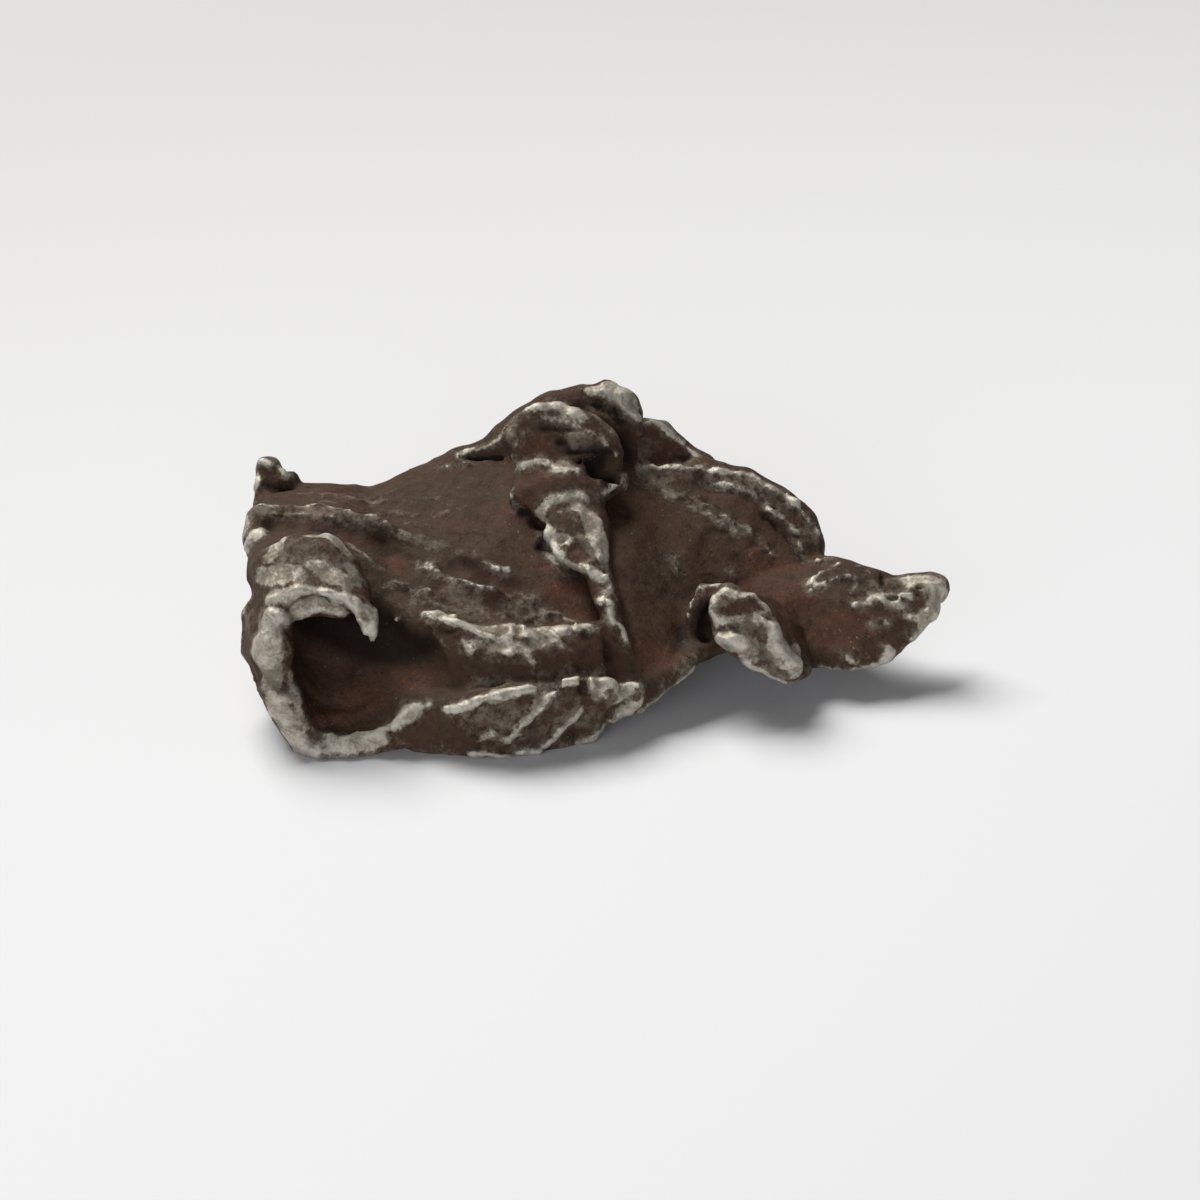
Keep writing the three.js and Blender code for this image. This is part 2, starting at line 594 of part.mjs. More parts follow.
const slabGeometry = new THREE.BoxGeometry(LENGTH * 2, DEPTH * 2, SLAB);
slabGeometry.translate(0, 0, -SLAB / 2);
slabGeometry.deleteAttribute('normal');
slabGeometry.deleteAttribute('uv');
const slab = mergeVertices(slabGeometry);
const fragment = solidOf(new Float32Array(positions), new Uint32Array(triangles)).subtract(
  solidOf(new Float32Array(slab.attributes.position.array), new Uint32Array(slab.index.array)),
);
const trimmed = fragment.getMesh();

const geometry = new THREE.BufferGeometry();
geometry.setAttribute('position', new THREE.BufferAttribute(trimmed.vertProperties, 3));
geometry.setIndex(new THREE.BufferAttribute(trimmed.triVerts, 1));
geometry.computeVertexNormals();
geometry.computeBoundingBox();
const middle = geometry.boundingBox.getCenter(new THREE.Vector3());
geometry.translate(-middle.x, -middle.y, 0);

const weatheredIron = new THREE.MeshStandardMaterial({
  color: 0x54473c,
  roughness: 0.55,
  metalness: 0.6,
  flatShading: true,
});

const meteorite = new THREE.Mesh(geometry, weatheredIron);
meteorite.name = 'meteorite';

const group = new THREE.Group();
group.add(meteorite);

export default group;
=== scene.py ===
from math import cos, radians, sin

import bpy
import numpy as np
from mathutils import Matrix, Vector


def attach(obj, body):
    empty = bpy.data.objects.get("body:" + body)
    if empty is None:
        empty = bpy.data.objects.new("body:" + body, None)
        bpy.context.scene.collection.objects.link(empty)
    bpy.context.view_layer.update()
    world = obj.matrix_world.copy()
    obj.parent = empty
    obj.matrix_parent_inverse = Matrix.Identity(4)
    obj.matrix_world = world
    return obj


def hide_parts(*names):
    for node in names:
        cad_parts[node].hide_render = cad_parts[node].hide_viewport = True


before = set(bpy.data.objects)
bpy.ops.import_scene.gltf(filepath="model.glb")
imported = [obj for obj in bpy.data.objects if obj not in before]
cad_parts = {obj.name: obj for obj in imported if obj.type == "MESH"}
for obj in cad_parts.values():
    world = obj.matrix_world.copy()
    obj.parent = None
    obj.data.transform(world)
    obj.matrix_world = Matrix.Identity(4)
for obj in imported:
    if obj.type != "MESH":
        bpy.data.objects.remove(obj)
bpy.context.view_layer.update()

# --- The fragment ---
# One torn, twisted piece of nickel iron, ripped hot from a bigger body and never machined. Its
# broad faces are smooth and brown with age, its hollows hold rust and soil, and its edges and
# ridges are worn to bare pale metal.
#
# It is formed from beads, [x, y, z, radius] in mm, as a potter builds with rolls and slabs of
# clay. The clay is a grid from LOW to HIGH that holds how far each point is outside the metal, as
# far as ROOM away from it.
MM = 0.001
CELL = 0.16
LOW = np.array([-19.2, -10.6, -1.8])
HIGH = np.array([19.2, 10.6, 14.0])
ROOM = 1.2
FAR = 9.0
counts = np.ceil((HIGH - LOW) / CELL).astype(int) + 1
axes = [LOW[i] + CELL * np.arange(counts[i]) for i in range(3)]
clay = np.full(counts, ROOM)


def bar(*beads):
    """A roll of metal through these beads."""
    return [list(pair) for pair in zip(beads, beads[1:])]


def sheet(*rows):
    """A slab stretched over rows of beads."""
    parts = []
    for near, far in zip(rows, rows[1:]):
        i = j = 0
        while i < len(near) - 1 or j < len(far) - 1:
            if (i + 1) / (len(near) - 1) <= (j + 1) / (len(far) - 1):
                parts.append([near[i], near[i + 1], far[j]])
                i += 1
            else:
                parts.append([near[i], far[j + 1], far[j]])
                j += 1
    return parts


def outside(points, beads):
    """How far points are outside the metal between two or three beads."""
    if len(beads) == 3:
        pairs = list(zip(beads, beads[1:] + beads[:1]))
        edges = np.minimum.reduce([outside(points, pair) for pair in pairs])
        a, b, c = np.array(beads, float)
        ab, ac, ap = b[:3] - a[:3], c[:3] - a[:3], points - a[:3]
        normal = np.cross(ab, ac)
        area = normal @ normal
        if area < 1e-9:
            return edges
        v = np.cross(ap, ac) @ normal / area
        w = np.cross(ab, ap) @ normal / area
        flat = np.abs(ap @ normal) / area**0.5 - (a[3] + v * (b[3] - a[3]) + w * (c[3] - a[3]))
        return np.where((v >= 0) & (w >= 0) & (v + w <= 1), np.minimum(flat, edges), edges)
    a, b = np.array(beads, float)
    ab, ap = b[:3] - a[:3], points - a[:3]
    along = np.clip(ap @ ab / max(ab @ ab, 1e-9), 0, 1)
    return np.linalg.norm(ap - along[..., None] * ab, axis=-1) - (a[3] + along * (b[3] - a[3]))


def cells_near(beads, room):
    """The block of the grid within room of these beads."""
    beads = np.array(beads, float)
    low = (beads[:, :3] - beads[:, 3:]).min(0) - room
    high = (beads[:, :3] + beads[:, 3:]).max(0) + room
    first = np.clip(np.floor((low - LOW) / CELL).astype(int), 0, counts - 1)
    last = np.clip(np.ceil((high - LOW) / CELL).astype(int) + 1, 1, counts)
    return tuple(slice(a, b) for a, b in zip(first, last))


def work(carved, blend, parts):
    """Blends parts into the clay, or out of it, with the crease between rounded over."""
    parts = [part for group in parts for part in group]
    room = ROOM + blend
    block = cells_near([bead for part in parts for bead in part], room)
    depth = np.full([side.stop - side.start for side in block], FAR)
    for part in parts:
        own = cells_near(part, room)
        here = tuple(slice(o.start - s.start, o.stop - s.start) for o, s in zip(own, block))
        grid = np.meshgrid(*[axes[i][own[i]] for i in range(3)], indexing="ij")
        depth[here] = np.minimum(depth[here], outside(np.stack(grid, -1), part))
    was = -clay[block] if carved else clay[block]
    overlap = np.maximum(blend - np.abs(was - depth), 0) / blend
    now = np.minimum(was, depth) - overlap**2 * blend / 4
    clay[block] = -now if carved else now


def add(blend, *parts):
    """Metal added in these parts."""
    work(False, blend, parts)


def carve(blend, *parts):
    """Metal taken away in these parts."""
    work(True, blend, parts)


# The thick middle of the fragment, from the scooped front to the back.
add(1.0, sheet(
  [[-14, -5, 2, 1.5], [-14, -1, 3.75, 2], [-14, 3, 4.5, 1.75]],
  [[-10, -5.5, 1.75, 1.5], [-10, -1.5, 3.25, 2.5], [-10, 3.5, 4.25, 2.5]],
  [[-6, -6, 1.75, 1.5], [-6, -2, 3.25, 2.5], [-6, 4, 4.75, 2.5]],
  [[-1.75, -5.75, 2, 1.5], [-1.75, -1.5, 3, 2.5], [-1.75, 4.5, 5.25, 2.75]],
  [[2, -4.5, 2, 1], [2.25, -0.75, 2.25, 1.5], [2.5, 4.5, 4.5, 2]],
  [[4.75, -2.5, 2.5, 0.75], [5.5, 1, 2.5, 1], [6, 4.5, 4, 1.5]],
))

# Two lumps under the back edge, which it rests on.
add(1.0,
  bar([-13, 2.5, 2.5, 1.25], [-9.75, 4.75, 1, 1.5], [-6.25, 4.5, 2.5, 1.5]),
  bar([-0.25, 4.25, 3, 1.5], [3.5, 5.25, 1, 1.5], [6.75, 4, 2.75, 1]),
)

# The sloping upper face left of the crest.
add(0.8, sheet(
  [[-16.5, 4.75, 6.75, 1], [-17, 1.5, 7, 1], [-16, -2.5, 7, 1.25]],
  [[-14, 5.75, 6.75, 1], [-13.5, 1.75, 7.25, 1.25], [-13, -1.5, 6.5, 1.25]],
  [[-11.75, 5.75, 6.5, 1], [-11.25, 2, 6.5, 1.25], [-10.25, -2.75, 5.25, 1]],
  [[-7.5, 6.25, 8, 1.25], [-7.75, 0.75, 6.75, 1.25], [-8.25, -4.5, 5, 1]],
  [[-5, 6.75, 8.5, 1.25], [-5, -0.5, 6.5, 1.25], [-4.75, -5.25, 4.25, 1]],
  [[-3, 6.75, 8.5, 1.5], [-2.75, -1.75, 5.5, 1.25], [-1.75, -4.75, 4, 1]],
  [[-0.5, 5.5, 8, 1.25], [-0.5, -1.75, 4.5, 1.25], [0.5, -4, 3, 1]],
))

# The dished face right of the crest, running out into the flat tail.
tail_root = [[11.25, 3.5, 3.75, 1], [10.5, 0.25, 3.75, 1], [10.25, -1.75, 2, 0.75]]
add(0.8,
  sheet(
    [[0.25, 6, 7.75, 1.25], [0.5, 2.5, 6.5, 1.25], [1.25, -0.5, 5.75, 1.25], [2, -3.5, 3.75, 1],
      [1.75, -5.75, 2, 0.75]],
    [[1.75, 7.25, 7.25, 1.25], [2.5, 3.25, 6.25, 1.25], [3, -0.5, 4.5, 1.25],
      [3.5, -3.25, 3, 1], [3.5, -5.25, 2.5, 0.5]],
    [[5, 7.5, 7, 1.25], [5.5, 3.75, 5.75, 1.25], [5.25, 1, 4.5, 1], [5, -1.25, 3, 1],
      [5.5, -3.75, 3.25, 0.5]],
    [[8, 6.75, 6.5, 1.25], [8.5, 4.25, 5, 1.25], [8, 1.5, 3.75, 1], [7.75, -0.5, 3, 1]],
    [[10.75, 5.75, 4.75, 1], *tail_root],
  ),
  sheet(
    tail_root,
    [[13, 1.5, 4.5, 1], [13, -0.5, 3.5, 1], [12.75, -2.25, 2, 0.75]],
    [[15.25, 0.75, 4.25, 0.75], [15.5, -0.5, 3.5, 1], [14.75, -1.75, 2.25, 0.75]],
    [[17.5, 0.5, 4.5, 0.75], [16.75, -0.5, 3.75, 0.75]],
  ),
)

# The back, from its torn upper rim to halfway down.
back_rim = [
  [-15.25, 5.75, 6.25, 1], [-11.25, 6, 6, 1.25], [-7.5, 6.5, 7, 1.25], [-2.75, 7.25, 8.25, 1.5],
  [1.5, 7.75, 7.5, 1.25], [5.5, 7.75, 7, 1], [9.5, 6.75, 5.5, 1],
]
add(1.0, sheet(
  back_rim,
  [[-14.25, 4.25, 4, 1.25], [-10.5, 5.25, 3.5, 1.5], [-6.75, 5, 4.5, 1.75], [-2.75, 5.75, 4.75, 1.75],
    [1.25, 6.25, 4.5, 1.5], [5.25, 5.75, 4.5, 1.5], [9, 5.25, 4.25, 1]],
))

# The low front flank, which stands on the ground along its lower edge.
flank_top = [
  [-9.5, -8, 0.75, 0.5], [-7.25, -8.25, 2.25, 0.75], [-4.75, -8.5, 3, 0.75],
  [-2.5, -8, 3, 0.75], [-1, -7.5, 3, 0.75], [0.5, -7, 2.25, 0.75], [2, -6.25, 2, 0.5],
]
add(0.6, sheet(
  flank_top,
  [[-8.75, -8.25, 0.5, 0.5], [-6.25, -8.25, 0, 0.75], [-4.25, -8.25, 0, 0.75],
    [-2.5, -7.75, 0, 0.75], [-0.75, -7, 0, 0.75], [0.5, -6.25, 1, 0.5], [2, -6, 1.5, 0.5]],
  [[-8.75, -6, 1.5, 1], [-4.75, -6.25, 1.5, 1], [-0.75, -5.5, 1.5, 1], [2.25, -4.5, 2.25, 0.75]],
))

# The long trough between the flank and the upper face, deepest under the curled end.
carve(0.6, bar(
  [-13.25, -4, 4.25, 1.75], [-13, -7.5, 4.25, 2.25], [-10, -7.75, 4.5, 2], [-7, -8, 5, 1.5],
  [-4.5, -7.75, 5.25, 1.25], [-1.75, -7.25, 5, 1.25], [0.75, -6, 4.5, 1],
))

# Thumb-sized hollows in the back, the underside and the left end.
carve(1.0,
  bar([-13, 9.5, 5.25, 2.5], [-8.5, 10, 5.25, 3]),
  bar([-2, 11.25, 5.5, 3.25], [1.5, 11.25, 5.5, 3.5]),
  bar([6.25, 10, 5.5, 3], [8.5, 9, 4.75, 2.5]),
  bar([-6.5, 7.5, 0.25, 1.5], [-2, 8.75, 1, 2]),
)
carve(1.0,
  bar([-9.25, -1, -2.5, 2.75], [-5.75, 0.25, -1.75, 2.75]),
  bar([-0.75, 0.75, -1.75, 2.5], [2, 2.5, -1.5, 2.5]),
  bar([-2.25, -3.75, -1.5, 1.75], [0.75, -2.75, -1.25, 1.5]),
)
carve(0.8, bar([2.5, -4.5, -0.75, 1.5], [5.5, -2.5, -0.25, 1.75], [8, -0.75, 0, 1.75]))
carve(0.8, bar([-18, -1.5, 2.75, 1.5], [-18, 1.5, 4.25, 2]))

# The floor of the trough, rising to the back and to the right.
add(0.5, sheet(
  [[-14.5, -8.25, 1, 0.5], [-15, -6.5, 1, 0.75], [-15, -3.75, 2.5, 1]],
  [[-13, -8.25, 0, 0.5], [-13, -6.25, 1, 0.75], [-13.25, -4.25, 2.25, 1],
    [-13.25, -2.5, 4.25, 1.25]],
  [[-10.5, -8.25, 0.75, 0.5], [-10.5, -6.5, 1.5, 0.75], [-10.25, -4.5, 2.75, 1],
    [-10.25, -3.25, 3.5, 1]],
  [[-8.25, -7.5, 2.25, 0.75], [-8.25, -6.25, 2, 0.75], [-7.75, -4.75, 3, 1]],
  [[-5.75, -7.5, 2.25, 0.75], [-4.75, -6, 3, 1]],
  [[-2, -6.75, 2.5, 0.75], [-1.5, -5.5, 2.75, 0.75]],
  [[0.5, -5.5, 2.5, 0.75], [1, -4.5, 2.75, 0.75]],
))

# The curled end: an upright wall at the far left, with lumps down its front edge.
wall_edge = [
  [-15.5, -5.25, 7, 0.75], [-15.75, -6.25, 6, 0.75], [-15.75, -7, 5, 1], [-15.75, -7.25, 4, 0.75],
  [-15.5, -7.5, 3, 1], [-15, -8, 2, 1], [-14.25, -8.25, 0.5, 0.75],
]
add(0.6, sheet(
  wall_edge,
  [[-16.25, -2.5, 7.25, 1], [-16.5, -3.5, 5.5, 1], [-16.5, -4.25, 3.75, 1.25],
    [-15.75, -5, 2, 1.25], [-15, -5.5, 1, 1.25], [-14, -6.25, 0, 1]],
  [[-15.5, -1, 6.25, 1.25], [-15.5, -1.5, 5, 1.5], [-15.5, -2.5, 3, 1.5],
    [-15, -3.25, 1.5, 1.5], [-14.25, -4, 0.5, 1.25]],
))

# The hook: the top of the wall rolls over to the right in two folds, one under the other, and
# ends in a downward point.
hook_tip = [-11.5, -6, 6.75, 0.5]
hook_edge = [
  [-15.5, -5.25, 7, 0.75], [-14.5, -5.5, 7.5, 0.75], [-13.5, -5.75, 7.5, 0.5],
  [-12.25, -6, 7.25, 0.5], hook_tip,
]
hook_top = [
  [-16, -3.5, 7.75, 1], [-14.75, -3.5, 8.25, 1.25], [-13.5, -3.5, 8.25, 1.25],
  [-12.5, -4, 7.75, 1], [-11.75, -4.5, 7, 0.75],
]
hook_point = [
  hook_tip, [-11, -6, 6.5, 0.4], [-11, -6.5, 6, 0.35], [-11, -6.5, 5.5, 0.25],
]
inner_fold = [
  [-15.25, -5.25, 6, 0.5], [-14.5, -5.5, 6.5, 0.5], [-13.5, -5.5, 6.75, 0.5],
  [-12.5, -5.5, 6.5, 0.5],
]
add(0.45, sheet(hook_edge, hook_top), bar(*hook_point))
add(0.2, bar(*inner_fold))

# The lip in front of the trough, under the hook.
lip = [
  [-14.25, -8.25, 0.5, 0.75], [-13.5, -8.5, 0.25, 0.75], [-12.25, -8.5, 0.25, 0.75],
  [-11, -8.5, 0.5, 0.5], [-10.25, -8.5, 0.75, 0.5], [-9, -8.25, 1.25, 0.5],
]
add(0.4, bar(*lip))

# The crest steps down to the front: a broad step under the knob, a narrow one, then a ridge.
add(0.25,
  sheet(
    [[-3.5, 3, 9.5, 0.75], [-3.5, 2, 9, 0.75], [-2.75, 1.5, 8.5, 0.75]],
    [[-2, 3.5, 9.5, 1.25], [-1.5, 2.5, 9.5, 1], [-1.5, 2, 9, 1]],
    [[0, 3.5, 9.5, 1.25], [0, 2.75, 9.5, 1], [0, 2.25, 9.25, 0.75]],
    [[0.75, 4, 9.5, 0.75], [1, 3.25, 9.25, 0.75]],
  ),
  bar([-3, 2.5, 5.5, 1.5], [-1, 2.75, 5.75, 1.75], [0.75, 3.25, 5.5, 1.5]),
)
add(0.25, sheet(
  [[-2.25, 1.5, 8.75, 0.5], [-2, 0.75, 8.25, 0.75], [-2, 0, 7.75, 0.5]],
  [[-1, 1.75, 8.75, 0.75], [-1, 0.5, 8, 1], [-1, -0.5, 7.5, 0.75]],
  [[-0.25, 1.75, 8.5, 0.75], [-0.25, 0.75, 7.75, 1], [0, -1.25, 7, 0.75]],
))
crest_edge = [
  [-2, 0, 7.75, 0.5], [-1.25, -1, 7.25, 0.5], [-0.25, -2, 7, 0.5], [0.25, -3, 6.25, 0.5],
  [0.75, -3.75, 5.75, 0.5], [1, -4.5, 4.75, 0.5], [1.5, -5, 3.75, 0.5],
]
crest_side = [
  [-0.5, 0.25, 7.5, 0.75], [0, -0.5, 7, 0.75], [0.5, -1.5, 6.25, 0.5], [1, -2.5, 5.25, 0.5],
  [1.25, -3.25, 4.5, 0.5], [1.75, -4.25, 2.75, 0.5],
]
add(0.25, sheet(crest_edge, crest_side))

# The groove under the left side of the crest.
carve(0.4, bar([-2.75, -1.5, 8.25, 0.5], [-2, -3, 7.5, 0.5], [-1, -4.25, 6.75, 0.75],
  [0, -5.25, 5.75, 0.5]))


def fan(middle, *edge):
    """A slab stretched from a middle bead to a closed line of beads round it."""
    return [[middle, a, b] for a, b in zip(edge, edge[1:] + edge[:1])]


def ring(middle, right, top, radius, count):
    """Beads round an oval, given its middle and the arms to its right side and to its top."""
    turns = 2 * np.pi * np.arange(count) / count
    arms = np.outer(np.cos(turns), right) + np.outer(np.sin(turns), top)
    return [[*spot, radius] for spot in (middle + arms).tolist()]


# The knob: a blunt oval disc that leans to the front, tied into the ridge behind it.
disc_rim = ring([-1.6, 4, 10.9], [2.4, 0, -0.45], [0, 0.8, 1.2], 0.7, 12)
add(0.25,
  fan([-1.75, 4.25, 11, 1], *disc_rim),
  fan([-1.5, 7.25, 10.25, 1], *disc_rim),
)
carve(0.25, bar([-0.25, 2.75, 10.75, 0.25], [0, 2.5, 10.25, 0.5], [0.5, 2.75, 9.75, 0.5]))

# The ridge behind the knob, ending in a hooked point at the right.
rear_ridge = [
  [-7.25, 6.5, 9, 0.5], [-6.25, 6.5, 9.25, 0.5], [-4.75, 6.75, 9.75, 1], [-3.25, 7.25, 10.75, 1],
  [-2, 7.25, 11.5, 1], [-0.5, 7.5, 11.75, 1], [0.5, 7.5, 12.25, 0.75], [1.5, 7.25, 11.75, 0.75],
  [2, 7, 11.25, 0.5], [2, 6.75, 10.5, 0.5],
]
add(0.4,
  bar(*rear_ridge),
  sheet(
    [[-4.75, 6.5, 9.5, 1], [-3, 7.25, 10.25, 1.25], [-0.25, 7.25, 11, 1.25], [1, 7, 10.75, 1]],
    [[-4, 6.5, 8.5, 1.25], [-2, 6.75, 8.5, 1.5], [0, 6.5, 9, 1.25], [1.5, 6.5, 8.5, 1]],
  ),
)

# A thin fin standing up behind the dished face, and that face's own thick rim.
fin_edge = [[2.5, 8.25, 10, 0.5], [3.5, 8.5, 9.75, 0.5], [4.75, 8.25, 8.5, 0.5], [5.75, 8, 8, 0.5]]
dish_rim = [
  [1.75, 6.75, 8, 0.5], [3.5, 7, 7.75, 0.75], [5.5, 7, 7.75, 0.75], [7.75, 6.75, 7.25, 1],
  [9.5, 6.25, 6.5, 1], [10.75, 5.5, 5.75, 1], [11.25, 4.5, 5, 0.75],
]
add(0.3, sheet(
  fin_edge,
  [[2, 7.75, 8.25, 1], [3.5, 8, 7.5, 1], [4.5, 8, 7.25, 0.75], [5.5, 7.75, 7.25, 0.75]],
))
add(0.4, bar(*dish_rim))

# The horn at the far back left corner, with a rib running from it along the back edge.
horn = [[-17.25, 6.75, 8.25, 0.75], [-17, 6.5, 7.5, 1], [-17, 6, 7, 1], [-17, 5, 6.5, 1]]
add(0.3,
  bar(*horn),
  bar([-17, 6.5, 7.5, 0.75], [-16, 6.5, 7.75, 0.5], [-15.75, 6.25, 7.25, 0.5],
    [-14, 6, 7.25, 0.5], [-12, 5.5, 7, 0.5]),
)

# A fold that starts at the left edge and dies away across the upper face.
fold = [
  [-17, -0.5, 7.25, 0.5], [-17.25, 0.5, 7.5, 0.75], [-17, 1.5, 8, 0.75], [-15.75, 1.5, 8, 0.5],
  [-13.5, 1.5, 8, 0.5], [-11.75, 1, 8, 0.5], [-10, 0.5, 7.5, 0.5], [-8, -0.5, 7, 0.5],
  [-6, -1.5, 6.5, 0.5],
]
add(0.3, bar(*fold))

# The recess under that fold, behind the hook.
carve(0.5, bar(
  [-15.5, -0.5, 9, 0.5], [-13.5, -0.5, 9.25, 0.5], [-11.5, -1, 8.5, 0.75], [-9.75, -2, 8, 1],
  [-9.25, -4, 7, 1],
))

# A broad torn ridge along the foot of the upper face, over the trough.
ridge_top = [
  [-8.25, -5.5, 5.75, 0.25], [-7.25, -5.5, 5.75, 0.25], [-6.25, -5.75, 5.25, 0.5],
  [-4.75, -5.75, 5.25, 0.5], [-3, -5.75, 5, 0.5], [-1.5, -5.25, 5, 0.5], [0, -4.75, 4.75, 0.5],
]
ridge_face = [
  [-7.5, -6, 5, 0.25], [-6.25, -6.5, 4.5, 0.5], [-4.75, -6.75, 4.25, 0.5], [-3, -6.75, 4.25, 0.5],
  [-1.5, -6.25, 4.25, 0.5], [0, -5.5, 4, 0.5],
]
add(0.5,
  sheet(
    [[-8.5, -4.5, 5, 0.75], [-6.5, -5, 5, 0.75], [-4.75, -5.25, 4.5, 0.75],
      [-3, -5.25, 4.25, 0.75], [-1.25, -5, 4.25, 0.75], [0.25, -4.25, 4, 0.75]],
    ridge_top,
    ridge_face,
    [[-6.25, -6.5, 3, 0.5], [-5.5, -7, 2.75, 0.5], [-4.25, -7, 3, 0.5], [-3, -7, 3, 0.5],
      [-1.25, -6.5, 3, 0.5], [0.25, -6, 3, 0.5]],
  ),
)

# The leaf: a bent flap that hangs in front of the tail.
leaf_top = [
  [6.75, -3, 6, 0.5], [7.5, -3.5, 5.75, 0.5], [8.5, -3.75, 5, 0.5], [9, -4.25, 4, 0.5],
  [9.5, -4.75, 3, 0.5],
]
leaf_foot = [
  [6.25, -3.5, 5.5, 0.5], [6.25, -4.25, 4.25, 0.5], [7.25, -4.75, 3.75, 0.5], [8.5, -5, 3, 0.5],
  [9.5, -5, 2.5, 0.5],
]
leaf_root = [[7, -1.5, 4.5, 0.75], [8.5, -1.5, 4, 1], [9.75, -2, 3.25, 0.75], [10.5, -2.75, 2, 0.5]]
add(0.25,
  sheet(leaf_top, leaf_foot),
  sheet(
    leaf_foot,
    [[6.5, -2.75, 4.25, 0.5], [7.75, -3, 3.25, 0.75], [9.25, -3.5, 2.5, 0.5], [10.5, -3.5, 2, 0.5]],
    leaf_root,
  ),
  sheet(leaf_top, leaf_root),
  bar([7, -2.75, 4.5, 0.75], [8.25, -3, 4, 1], [9.5, -3.75, 3, 0.75]),
)

# The gap between the leaf's free edge and the tail behind it.
carve(0.3, bar([8, -3, 6.25, 0.25], [9.5, -3.25, 5.25, 0.5], [10.5, -3.75, 4, 0.5],
  [11, -4, 3, 0.25]))

# A thin upright fold between the dished face and the leaf, and the metal that joins them below.
upright = [[5.5, -2, 5.5, 0.5], [5, -2.5, 4.5, 0.5], [4.75, -3.25, 3.25, 0.5]]
add(0.25,
  sheet(upright, [[6, -1, 4.25, 0.75], [5.75, -1.5, 3.5, 0.75], [5.25, -2.5, 2.75, 0.5]]),
  bar(upright[0], [6.75, -2.75, 5.75, 0.5]),
)
add(0.5, sheet(
  [[4, -3, 2.5, 0.75], [5.25, -2.5, 2.75, 0.75], [6.5, -2.25, 3, 0.75]],
  [[4.75, -0.5, 2.25, 1], [6, -0.5, 2.75, 1], [7, -0.5, 3, 0.75]],
))

# Folds on the back and on the left end.
back_folds = [
  [[-6.25, 6.75, 2.25, 1], [-4.25, 7.5, 3.75, 0.75], [-2.25, 8.25, 5.5, 0.75],
    [-1, 8.5, 7.5, 0.75]],
  [[5.75, 6.5, 2.5, 0.75], [4.75, 7.75, 4.25, 0.75], [4.75, 8.25, 6, 0.75], [3.25, 8.25, 7.5, 0.5]],
  [[-12.25, 6, 2.5, 1], [-14.25, 6, 4, 0.75], [-15.75, 5.25, 5.5, 0.75]],
]
left_fold = [
  [-16, 2.5, 6, 0.75], [-16.25, 0.25, 5, 0.75], [-16, -1.5, 3.5, 1], [-15.25, -3.75, 1.5, 1],
]
add(0.4, *[bar(*beads) for beads in back_folds], bar(*left_fold))


def smoothed(grid, width):
    """The grid averaged over about this width in mm."""
    reach = int(np.ceil(2.5 * width / CELL))
    weights = np.exp(-((np.arange(-reach, reach + 1) * CELL / width) ** 2) / 2)
    weights /= weights.sum()
    for axis in range(3):
        sides = [(reach, reach) if i == axis else (0, 0) for i in range(3)]
        padded = np.pad(grid, sides, mode="edge")
        grid = sum(
            weight * np.take(padded, range(n, n + grid.shape[axis]), axis)
            for n, weight in enumerate(weights)
        )
    return grid


# The facets of the slabs are softened before the fine detail is worked in.
clay = smoothed(clay, 0.08)

# How far each point is outside the marks of bare, scuffed, rusty, dirty and torn metal, and of soil with
# painted shadow, as far as UNMARKED.
UNMARKED = 2.0
bare_spots, scuff_spots, rust_spots, dirt_spots, soil_and_shadow_spots, torn_spots = np.full(
    (6, *counts), UNMARKED
)


def read(grid, at):
    """The grid's value at points in mm, blended between its cells."""
    spot = (at - LOW) / CELL
    base = np.clip(np.floor(spot).astype(int), 0, counts - 2)
    part = spot - base
    total = 0
    for corner in np.ndindex(2, 2, 2):
        share = np.prod(np.where(corner, part, 1 - part), axis=-1)
        i, j, k = (base + corner).T
        total = total + share * grid[i, j, k]
    return total


def lumps(points, size, seed):
    """Smooth random relief from -1 to 1, with lumps of about this size in mm."""
    table = np.random.default_rng(seed).uniform(-1, 1, (32, 32, 32))
    spot = points / size
    base = np.floor(spot).astype(int)
    part = spot - base
    part = part * part * (3 - 2 * part)
    total = 0
    for corner in np.ndindex(2, 2, 2):
        share = np.prod(np.where(corner, part, 1 - part), axis=-1)
        i, j, k = ((base + corner) % 32).T
        total = total + share * table[i, j, k]
    return total


SPACING = 0.35
WANDER = 0.12


def laid(beads):
    """Beads set closely along a line and pressed onto the skin, and the way out of the metal."""
    beads = np.array(beads, float)
    close = [beads[:1]]
    for a, b in zip(beads, beads[1:]):
        steps = int(np.ceil(np.linalg.norm(b[:3] - a[:3]) / SPACING)) or 1
        close.append(a + (b - a) * np.arange(1, steps + 1)[:, None] / steps)
    close = np.concatenate(close)
    wander = np.stack([lumps(close[:, :3], 0.8, seed) for seed in (21, 22, 23)], -1)
    spots = close[:, :3] + WANDER * wander
    for _ in range(5):
        steps = np.eye(3) * CELL
        rise = [read(clay, spots + step) - read(clay, spots - step) for step in steps]
        slope = np.stack(rise, -1) / (2 * CELL)
        steep = np.maximum((slope**2).sum(-1), 0.2)
        spots = spots - (read(clay, spots) / steep)[:, None] * slope
    outward = slope / np.linalg.norm(slope, axis=-1)[:, None]
    return spots, outward, close[:, 3]


MARK_REACH = 1.0


def rub(spots, *beads):
    """Marks the skin along this line, in one of the grids of marks."""
    at, _, radii = laid(beads)
    for part in bar(*np.column_stack([at, radii]).tolist()):
        block = cells_near(part, MARK_REACH)
        grid = np.meshgrid(*[axes[i][block[i]] for i in range(3)], indexing="ij")
        spots[block] = np.minimum(spots[block], outside(np.stack(grid, -1), part))


def moved(beads, x, y, z, radius):
    """The same line of beads, set over by x, y and z and with another thickness."""
    return [[bead[0] + x, bead[1] + y, bead[2] + z, radius] for bead in beads]


